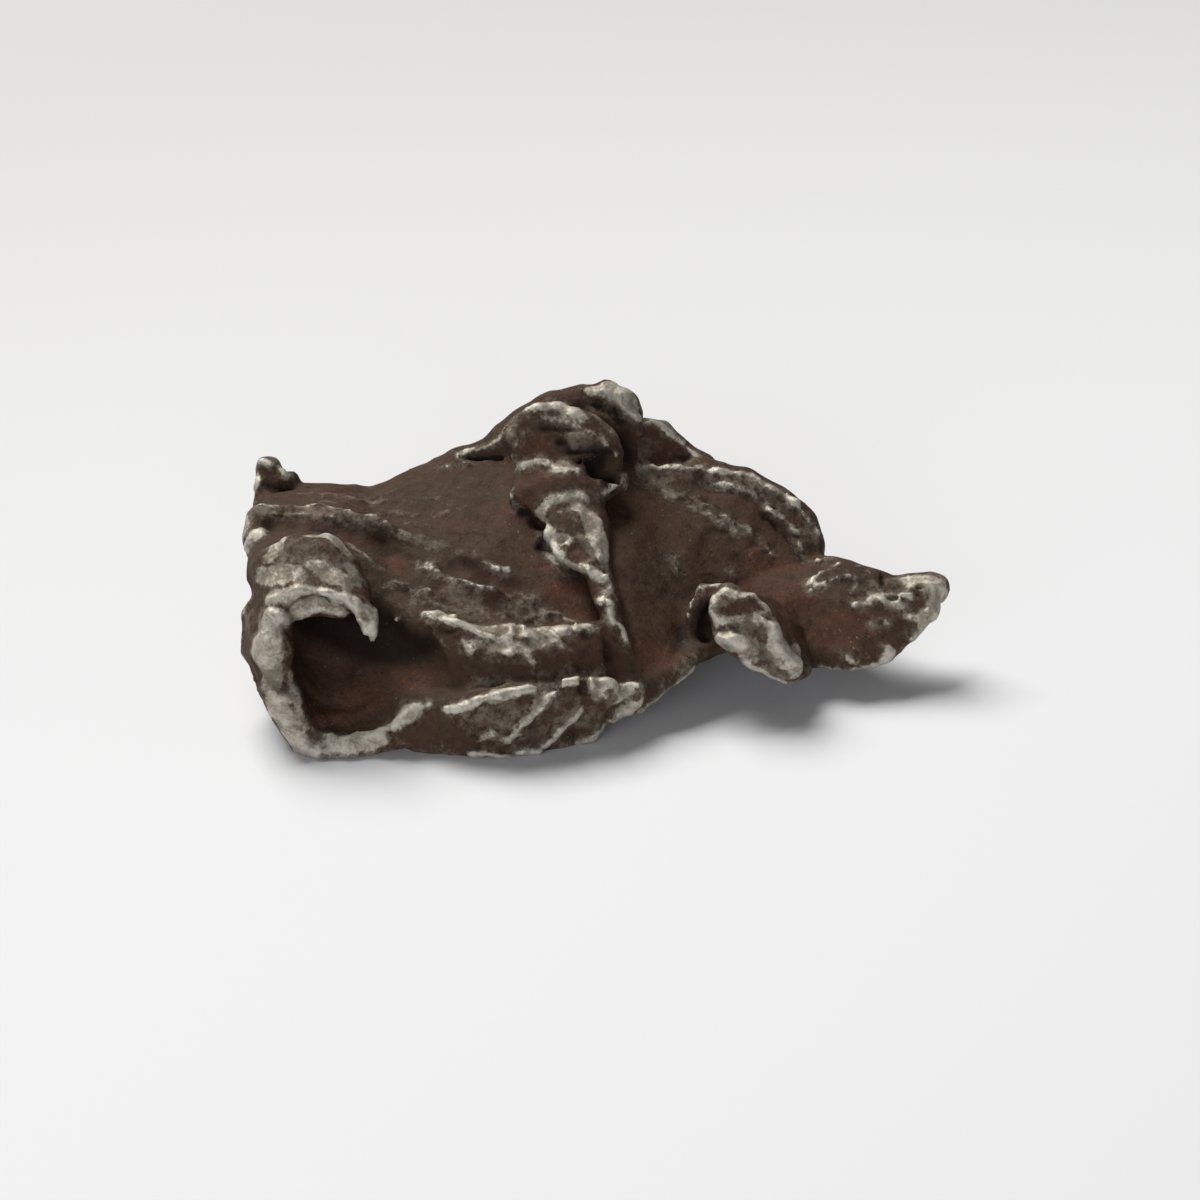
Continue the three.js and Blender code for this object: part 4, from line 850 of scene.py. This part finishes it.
# The back: a flaked bright rim, worn folds and thin threads drawn down its hollows.
seam(0.15, 0.2, *moved(back_rim, 0, 1, 0.25, 0.25), bare=0.2)
rub(torn_spots, *moved(back_rim, 0, 1, 0.25, 0.6))
for beads in back_folds:
    seam(0.15, 0.15, *moved(beads, 0, 1, 0, 0.3), bare=0.2)
    rub(torn_spots, *moved(beads, 0, 0.75, 0, 0.6))
threads(0.12, 0.15, 0.15, 0.5,
    ((-14, 7, 6.5), (-12.5, 7.25, 5.5), (-11.5, 7, 4)), ((-13, 7, 6.25), (-11.75, 7.25, 5.75)),
    ((-9, 8, 7), (-8, 7.75, 5.5), (-6.5, 7.25, 4.5), (-5.5, 7, 4.25)),
    ((-7.5, 7, 3), (-6, 7, 2.5), (-5, 7, 2.5)),
    ((-1.75, 8, 6.25), (-0.75, 8, 5), (-0.5, 7.5, 3.5)), ((2.5, 8.5, 6), (3, 8, 4.5), (3.75, 7.5, 3)),
    ((3.25, 8.5, 6.25), (4, 8.25, 5.75)), ((8.5, 7.75, 5.5), (8.5, 7, 4), (7.5, 6.5, 3)),
    ((-6, 8.25, 8), (-3, 8.75, 7.75), (-1, 8.75, 7.25)), ((1, 9, 7.25), (3.5, 9, 7), (5, 8.75, 7)),
    ((9, 7, 6.75), (10.5, 6, 6), (11.75, 5, 5)),
)
for scoop in (
    ((-13, 7, 5), (-12, 7, 3.75)), ((-9.75, 7.5, 5.75), (-8.5, 7.25, 4)), ((0.75, 8.25, 6), (1.25, 7.75, 4)),
):
    groove(0.5, 0.2, *thick(scoop, 0.7))
for x, y, z in (
    (-12, 6.5, 2.5), (-8.5, 7, 1.5), (0.5, 7, 2), (3.75, 6.5, 1), (7.5, 6, 2.75), (-5, 8, 8.5), (2, 9, 7),
    (-10, 8, 7.5), (9.5, 6.5, 5.5), (-15, 6.5, 6.5), (1, 6.75, 11.5), (-2.5, 7, 10.5), (14, 1.5, 3.75),
):
    rub(scuff_spots, [x - 1, y, z, 0.5], [x + 0.75, y, z + 0.25, 0.6])

# The left end: its fold, the edge of its hollow and creases beside them.
seam(0.15, 0.25, *moved(left_fold, -1, 0, 0, 0.3), bare=0.5)
rub(torn_spots, *moved(left_fold, -1, 0, 0, 0.6))
for tear in (
    ((-17, -4.5, 6.5), (-17, -4, 5), (-16.5, -4.75, 3.5)), ((-17, -2, 6.5), (-17, -1.75, 5.5)),
    ((-17.5, 1, 6.75), (-17, 1.5, 5.5), (-16.5, 1.25, 3.5)),
    ((-17.25, 4, 6.5), (-16.5, 3.5, 5), (-16, 3.75, 3.5)),
    ((-16.5, -6, 3), (-15.75, -6.5, 1.5)), ((-16, -2, 1.5), (-15.5, -0.5, 1.75)),
):
    thread(0.12, 0.15, 0.15, 0.5, *tear)
    groove(0.5, 0.25, *[[x, y + 1, z, 0.6] for x, y, z in tear])
for y, z in ((-5.5, 5.5), (-3, 4.5), (0.5, 2), (2.5, 6.5), (5, 5)):
    rub(scuff_spots, [-17, y - 0.5, z, 0.5], [-17, y + 0.75, z + 0.25, 0.6])

# The underside: worn bare where it rests, with threads along the edges of its hollows.
for x, y in ((-14, -6.25), (-3.75, -7.5), (-9.75, 4.75), (3.5, 5.25)):
    rub(bare_spots, [x - 0.5, y, 0, 0.5], [x + 0.5, y, 0, 0.5])
for start, end in (
    ((-12, -3, 0.5), (-8, -4, 0.5)), ((-8, 3, 0.75), (-3, 2.5, 1)), ((-3, -2, 1), (-1, 0, 1)),
    ((3, 0, 1), (6, 2, 1.5)), ((0, 3.5, 1), (4, 4, 1)), ((10, -1, 1.5), (14, -1, 2)),
):
    thread(0.2, 0.2, 0.25, 0, start, end)
    rub(scuff_spots, [*start, 0.6], [*end, 0.4])

# Soil and painted shadow in the deepest hollows: under the hook, by the leaf and behind the knob.
rub(soil_and_shadow_spots, [-14, -4, 5.5, 1], [-12.5, -4, 5, 1.25], [-11, -4.5, 4.5, 1.25], [-9.5, -5.5, 4.25, 0.75],
    [-8.5, -6, 4.5, 0.25])
rub(soil_and_shadow_spots, [5.25, -3.25, 4.25, 0.25], [5.5, -3, 4.75, 0.25])
rub(soil_and_shadow_spots, [1.25, 6, 10.25, 0.25], [1.5, 6, 9.5, 0.25])

# Rust that lies in the hollows.
for x, y, z, radius in (
    (-12.5, -0.5, 8, 0.5), (-10, -1.5, 7.25, 0.5), (-2.5, -1.75, 7, 0.5), (-1.5, -3, 6.5, 0.6),
    (-0.75, -4, 5.75, 0.5), (-4, 1.25, 8.75, 0.4), (-3.5, 3.5, 11.25, 0.6), (-2.75, 2.25, 9.75, 0.5),
    (2.5, 7.25, 8.75, 1.25), (4, 7.25, 8.5, 1.25), (9, 2, 5.25, 0.8), (10, 2, 5, 0.7),
    (8.25, 0.5, 5, 0.8), (9.25, -0.25, 4.75, 0.8), (10.25, -0.75, 4.25, 0.7), (10.75, 0.25, 4.75, 0.5),
    (-13.5, -7.5, 1.75, 0.7), (-11.5, -7, 2.25, 0.8), (-9, -6.5, 3, 0.7), (4.75, -3, 4.25, 0.5),
    (3, -4.5, 3.5, 0.8), (3.25, -5, 3, 0.7), (12, -2, 3.25, 0.8), (13.25, -1.5, 3.5, 0.8),
    (-11, 8, 4.5, 1), (-0.5, 8.5, 4.5, 1), (7, 7.5, 4.5, 1), (-17, 0, 3.5, 0.8),
    (-7.5, 0, 0.75, 1.2), (0.5, 1.5, 0.75, 1.2),
):
    rub(rust_spots, [x - 0.5, y, z, radius], [x + 0.5, y, z, radius])

# Small relief all over: broad dents, the lumps and the grain of the weathered skin, fine lines
# drawn out along the tear, a net of sharp threads where the metal is torn, and the uneven wear of
# the bare metal. The ground cuts it off flat.
SKIN_DEPTH = 0.5
skin = np.abs(clay) < SKIN_DEPTH
where = np.argwhere(skin) * CELL + LOW
warp = np.stack([lumps(where, 0.8, seed) for seed in (11, 12, 13)], -1) * 0.25
torn = np.clip(1 - torn_spots[skin] / 0.4, 0, 1)
net = 0.5 - np.abs(lumps(where + warp, 0.55, 7)) * 1.6
knots = lumps(where + warp, 0.42, 8)
worn = np.clip(1 - bare_spots[skin] / 0.4, 0, 1)
tear_turn = radians(30)
tear_line = np.array([cos(tear_turn), -sin(tear_turn), -0.45])
tear_line /= np.linalg.norm(tear_line)
drawn_out = where - 0.8 * (where @ tear_line)[:, None] * tear_line
clay[skin] += (
    0.1 * lumps(where, 1.9, 1) + 0.06 * lumps(where + warp, 0.85, 2) + 0.04 * lumps(where, 0.42, 3)
    + 0.04 * lumps(drawn_out, 0.45, 9)
)
clay[skin] -= torn * (0.13 * net + 0.07 * knots) + worn * (
    0.09 * lumps(where + warp, 0.6, 10) + 0.05 * lumps(where + warp, 0.35, 14)
)
clay = np.maximum(clay, -axes[2][None, None, :])

# The surface of the clay as a mesh: one point in each cell that the surface passes through, and
# one face round each grid edge that it crosses.
sums = np.zeros((*(counts - 1), 3))
hits = np.zeros(counts - 1)
crossings = []
for axis in range(3):
    step = np.eye(3, dtype=int)[axis]
    here = clay[tuple(slice(0, counts[i] - step[i]) for i in range(3))]
    there = clay[tuple(slice(step[i], counts[i]) for i in range(3))]
    crossed = (here < 0) != (there < 0)
    along = np.where(crossed, here / np.where(crossed, here - there, 1), 0)
    b, c = (axis + 1) % 3, (axis + 2) % 3
    for db, dc in np.ndindex(2, 2):
        block = [slice(0, n) for n in counts - 1]
        block[b] = slice(db, db + counts[b] - 1)
        block[c] = slice(dc, dc + counts[c] - 1)
        block = tuple(block)
        sums[..., axis] += along[block]
        sums[..., b] += crossed[block] * db
        sums[..., c] += crossed[block] * dc
        hits += crossed[block]
    crossings.append((axis, crossed, here < 0))
used = hits > 0
number = np.full(counts - 1, -1)
number[used] = np.arange(used.sum())
points = (sums[used] / hits[used][:, None] + np.argwhere(used)) * CELL + LOW
quads = []
for axis, crossed, starts_inside in crossings:
    b, c = (axis + 1) % 3, (axis + 2) % 3
    crossing = np.argwhere(crossed)
    crossing = crossing[(crossing[:, b] > 0) & (crossing[:, c] > 0)]
    crossing = crossing[(crossing[:, b] < counts[b] - 1) & (crossing[:, c] < counts[c] - 1)]
    corners = []
    for db, dc in ((1, 1), (0, 1), (0, 0), (1, 0)):
        cell = crossing.copy()
        cell[:, b] -= db
        cell[:, c] -= dc
        corners.append(number[tuple(cell.T)])
    corners = np.stack(corners, 1)
    backward = ~starts_inside[tuple(crossing.T)]
    corners[backward] = corners[backward][:, ::-1]
    quads.append(corners)
quads = np.concatenate(quads)

# How sharply each point stands out of the metal just round it, and how deep it lies in a broad
# hollow, which is below 0 on what stands proud.
edge = read(smoothed(clay, 0.3), points) / 0.12
hollow = -read(smoothed(clay, 1.1), points) / 0.5

mesh = bpy.data.meshes.new("meteorite_skin")
mesh.from_pydata((points * MM).tolist(), [], quads.tolist())
mesh.shade_smooth()
marks = {"edge": edge, "hollow": hollow}
for name, spots in (
    ("bare", bare_spots), ("scuff", scuff_spots), ("rust", rust_spots), ("dirt", dirt_spots),
    ("soil_and_shadow", soil_and_shadow_spots), ("torn", torn_spots),
):
    marks[name] = read(spots, points)
for name, values in marks.items():
    mesh.attributes.new(name, "FLOAT", "POINT").data.foreach_set("value", values.astype(np.float32))
skin_piece = bpy.data.objects.new("meteorite_skin", mesh)
bpy.context.scene.collection.objects.link(skin_piece)
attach(skin_piece, "root")
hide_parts("meteorite")


class Socket:
    """An output of a shader node, so that a material's maths reads as maths."""

    def __init__(self, tree, output):
        self.tree = tree
        self.output = output

    def node(self, kind, settings, inputs, output=0):
        """A node of this kind, with its settings made and then its inputs set or linked."""
        made = self.tree.nodes.new(kind)
        for name, value in settings.items():
            setattr(made, name, value)
        for name, value in inputs.items():
            if isinstance(value, Socket):
                self.tree.links.new(value.output, made.inputs[name])
            else:
                made.inputs[name].default_value = value
        return Socket(self.tree, made.outputs[output]) if made.outputs else made

    def maths(self, operation, a, b=0.0):
        return self.node("ShaderNodeMath", {"operation": operation}, {0: a, 1: b})

    def __add__(self, other):
        return self.maths("ADD", self, other)

    __radd__ = __add__

    def __sub__(self, other):
        return self.maths("SUBTRACT", self, other)

    def __rsub__(self, other):
        return self.maths("SUBTRACT", other, self)

    def __mul__(self, other):
        return self.maths("MULTIPLY", self, other)

    __rmul__ = __mul__

    def between(self, low, high):
        """0 below low, 1 above high and a soft step between."""
        settings = {"interpolation_type": "SMOOTHSTEP"}
        return self.node("ShaderNodeMapRange", settings, {0: self, 1: low, 2: high})

    def grain(self, size, detail=2.0, roughness=0.5, drawn=1.0):
        """Noise from 0 to 1 with features of about this size in mm, drawn out along the tear."""
        coords = self.node("ShaderNodeTexCoord", {}, {}, "Object")
        slant = (0, radians(25), -tear_turn)
        scale = (size * drawn * MM, size * MM, size * MM)
        inputs = {"Vector": coords, "Rotation": slant, "Scale": scale}
        spot = self.node("ShaderNodeMapping", {"vector_type": "TEXTURE"}, inputs)
        inputs = {"Vector": spot, "Scale": 1.0, "Detail": detail, "Roughness": roughness}
        return self.node("ShaderNodeTexNoise", {}, inputs, "Fac")

    def mix(self, share, a, b):
        """Colour a, with colour b over it by share."""
        inputs = {"Factor": share, "A": a, "B": b}
        return self.node("ShaderNodeMix", {"data_type": "RGBA"}, inputs, "Result")


iron = bpy.data.materials.new("weathered_iron")
iron.use_nodes = True
tree = iron.node_tree
tree.nodes.clear()
start = Socket(tree, None)


def mark(name):
    """What this mark holds at each point of the skin."""
    return start.node("ShaderNodeAttribute", {"attribute_name": name}, {}, "Fac")


# Grain of three sizes, from blotches to specks, and streaks drawn out along the tear.
blotch = start.grain(1.4, 3.0)
fleck = start.grain(0.45, 8.0, 0.75)
speck = start.grain(0.16, 2.0)
streak = start.grain(0.35, 3.0, 0.6, 5.0)

# Wear: marked lines, edges and whatever stands proud are worn, unevenly. Where it is deep the
# metal is bare, and round it lies a dull film, thinned rust with metal showing through.
edge = mark("edge")
tear = (0.25 - mark("torn")).between(0.0, 0.35)
zone = (0.08 - mark("bare") + (blotch - 0.5) * 0.4 + (fleck - 0.5) * 0.6).between(-0.08, 0.2)
proud = (0 - mark("hollow")).between(0.35, 1.4)
wear = zone * 0.9 + edge * (0.22 + tear * 0.25) + proud * 0.3
wear = wear + (fleck - 0.5) * 1.0 + (blotch - 0.5) * 0.6 + (speck - 0.5) * 0.5 - tear * 0.1
bare = wear.between(0.48, 1.1)
patch = 0.1 - start.maths("MAXIMUM", mark("scuff"), -0.1)
scuff = (patch + (fleck - 0.5) * 1.8 + (blotch - 0.5) * 1.2).between(-0.05, 0.5)
halo = (0.35 - mark("bare") + (fleck - 0.5) * 1.8 + (blotch - 0.5) * 0.8).between(0.0, 0.5)
film = (wear + (streak - 0.5) * 0.6).between(0.18, 0.7)
film = 1 - (1 - film) * (1 - scuff * 0.75) * (1 - halo * 0.65)

# Loose bright specks, and dark lines where flakes of the bare metal end.
glint = (speck + (blotch - 0.5) * 0.25).between(0.72, 0.78)
bare = 1 - (1 - bare) * (1 - glint * 0.5)
flakes = start.grain(1.0, 5.0, 0.6, 2.5)
flake_edge = 1 - start.maths("ABSOLUTE", flakes - 0.5).between(0.0, 0.05)
flake_edge = flake_edge * start.grain(0.9, 2.0).between(0.48, 0.62)
bare = bare * (1 - flake_edge * 0.6)

# What lies on the rest: rust, dirt in grooves, painted shade in the concave creases, and soil with painted
# shadow in the deepest hollows.
rust = (0.4 - mark("rust") + (blotch - 0.5) * 1.2 + (fleck - 0.5) * 1.2).between(0.0, 0.9)
deep = (mark("hollow") + (blotch - 0.5) * 0.8).between(0.0, 1.0)
dirt = (0.15 - mark("dirt") + (fleck - 0.5) * 0.3).between(0.0, 0.25)
# Soil and painted shadow: darkest in the cavity under the hook, in the cleft by the leaf and by the knob.
soil_and_shadow = (0.2 - mark("soil_and_shadow") + (blotch - 0.5) * 0.6).between(-0.7, 0.4)
# Painted shade: darker where the skin curves in, in the concave creases.
painted_crease_shade = (0 - edge + (fleck - 0.5) * 0.8).between(0.4, 1.3)
pit = (1 - fleck + (speck - 0.5) * 0.5).between(0.55, 0.7)

olive = (0.05, 0.031, 0.017, 1)
russet = (0.066, 0.032, 0.02, 1)
light_brown = (0.08, 0.05, 0.03, 1)
hollow_brown = (0.072, 0.03, 0.018, 1)
red_rust = (0.09, 0.038, 0.023, 1)
orange_rust = (0.18, 0.065, 0.022, 1)
black_dirt_and_shade = (0.01, 0.006, 0.004, 1)
dull_film = (0.24, 0.2, 0.148, 1)
grey_metal = (0.21, 0.178, 0.13, 1)
bright_metal = (0.54, 0.495, 0.415, 1)

brown = start.mix(start.grain(3.5, 3.0).between(0.35, 0.65), olive, russet)
lighter = (streak * 0.3 + fleck * 0.5 + speck * 0.2).between(0.42, 0.66)
brown = start.mix(lighter, brown, light_brown)
rusty = start.mix(deep * 0.5, brown, hollow_brown)
rusty = start.mix(rust * 0.65, rusty, red_rust)
ember = rust * (speck + (fleck - 0.5) * 0.4).between(0.58, 0.68)
rusty = start.mix(ember * 0.6, rusty, orange_rust)
# Dirt, pits, painted crease shade and painted shadow in the hollows darken the colour towards near black.
dirt_and_shade = 1 - (1 - dirt * 0.8) * (1 - painted_crease_shade * 0.65) * (1 - pit * 0.6) * (1 - soil_and_shadow * 0.9)
dirtied_and_shaded = start.mix(dirt_and_shade, rusty, black_dirt_and_shade)
dull = start.mix(film * 0.85 * (1 - soil_and_shadow), dirtied_and_shaded, dull_film)
# The bare metal's polish varies at random, and a painted highlight lightens it along sharp ridges.
polish_and_ridge_highlight = (edge * 0.15 + bare * 0.15 + blotch * 0.4 + fleck * 0.6 + speck * 0.4 - 0.2).between(0.45, 0.95)
metal = start.mix(polish_and_ridge_highlight, grey_metal, bright_metal)
colour = start.mix(bare, dull, metal)

grit = start.grain(0.22, 4.0, 0.65) * 0.6 + start.grain(0.07, 2.0) * 0.3
height = fleck * 0.5 + grit * (1 - bare * 0.6) + bare * 0.3 + film * 0.4
relief = 0.00017
bump = start.node("ShaderNodeBump", {}, {"Strength": 0.8, "Distance": relief, "Height": height}, 0)
shader = start.node(
    "ShaderNodeBsdfPrincipled",
    {},
    {
        "Base Color": colour,
        "Metallic": bare * 0.5,
        "Roughness": 0.62 - bare * 0.17 + (fleck - 0.5) * 0.35 + soil_and_shadow * 0.3,
        "Normal": bump,
        "Specular IOR Level": 0.12,
    },
)
start.node("ShaderNodeOutputMaterial", {}, {"Surface": shader})
mesh.materials.append(iron)

# --- The floor ---
# A plain sheet of pale matt paper, with painted shade that darkens it towards the back left. It is the stage
# and not part of the fragment.
floor_reach = 1.0
corners = [(-1, -1), (1, -1), (1, 1), (-1, 1)]
floor_mesh = bpy.data.meshes.new("floor")
floor_mesh.from_pydata([(x * floor_reach, y * floor_reach, 0) for x, y in corners], [], [range(4)])
floor = bpy.data.objects.new("floor", floor_mesh)
bpy.context.scene.collection.objects.link(floor)
paper = bpy.data.materials.new("pale_paper")
paper.use_nodes = True
paper.node_tree.nodes.clear()
paper_start = Socket(paper.node_tree, None)
spot = paper_start.node("ShaderNodeTexCoord", {}, {}, "Object")
across = paper_start.node("ShaderNodeSeparateXYZ", {}, {0: spot}, "X")
away = paper_start.node("ShaderNodeSeparateXYZ", {}, {0: spot}, "Y")
near_paper = (0.77, 0.765, 0.76, 1)
shaded_far_paper = (0.49, 0.485, 0.475, 1)
# Painted shade: the paper darkens towards the back left.
painted_shade_fade = (away - across * 0.7).between(-0.05, 0.17)
tone = paper_start.mix(painted_shade_fade, near_paper, shaded_far_paper)
paper_inputs = {"Base Color": tone, "Roughness": 0.9}
paper_shader = paper_start.node("ShaderNodeBsdfPrincipled", {}, paper_inputs)
paper_start.node("ShaderNodeOutputMaterial", {}, {"Surface": paper_shader})
floor_mesh.materials.append(paper)

# --- The light ---
# A dim white room, a broad soft lamp above and behind to the left, and a weaker, cooler one low
# in front.
world = bpy.data.worlds.new("room")
bpy.context.scene.world = world
world.use_nodes = True
walls = world.node_tree.nodes["Background"].inputs
walls["Color"].default_value = (1.0, 0.99, 0.98, 1)
walls["Strength"].default_value = 0.08


def lamp(name, place, width, height, power, colour):
    """A soft lamp of this size at this place, turned to the fragment."""
    light = bpy.data.lights.new(name, "AREA")
    light.shape = "RECTANGLE"
    light.size = width
    light.size_y = height
    light.energy = power
    light.color = colour
    stand = bpy.data.objects.new(name, light)
    bpy.context.scene.collection.objects.link(stand)
    stand.location = place
    stand.rotation_euler = (-Vector(place)).to_track_quat("-Z", "Y").to_euler()


lamp("lamp", (-0.18, 0.22, 0.42), width=0.3, height=0.3, power=3.5, colour=(1.0, 1.0, 1.0))
lamp("fill", (-0.1, -0.42, 0.12), width=0.5, height=0.2, power=1.0, colour=(0.88, 0.92, 1.0))
bpy.context.scene.view_settings.view_transform = "Standard"

# --- The camera ---
# Close, from the front and a little above, with a long lens.
look_down = radians(28)
distance = 0.155
target = Vector((0.00025, 0.0008, 0.0036))
back = Vector((0, -cos(look_down), sin(look_down)))
lens = bpy.data.cameras.new("camera")
lens.lens = 90
lens.clip_start = 0.01
camera = bpy.data.objects.new("camera", lens)
bpy.context.scene.collection.objects.link(camera)
camera.location = target + back * distance
camera.rotation_mode = "QUATERNION"
camera.rotation_quaternion = (-back).to_track_quat("-Z", "Y")
bpy.context.scene.camera = camera
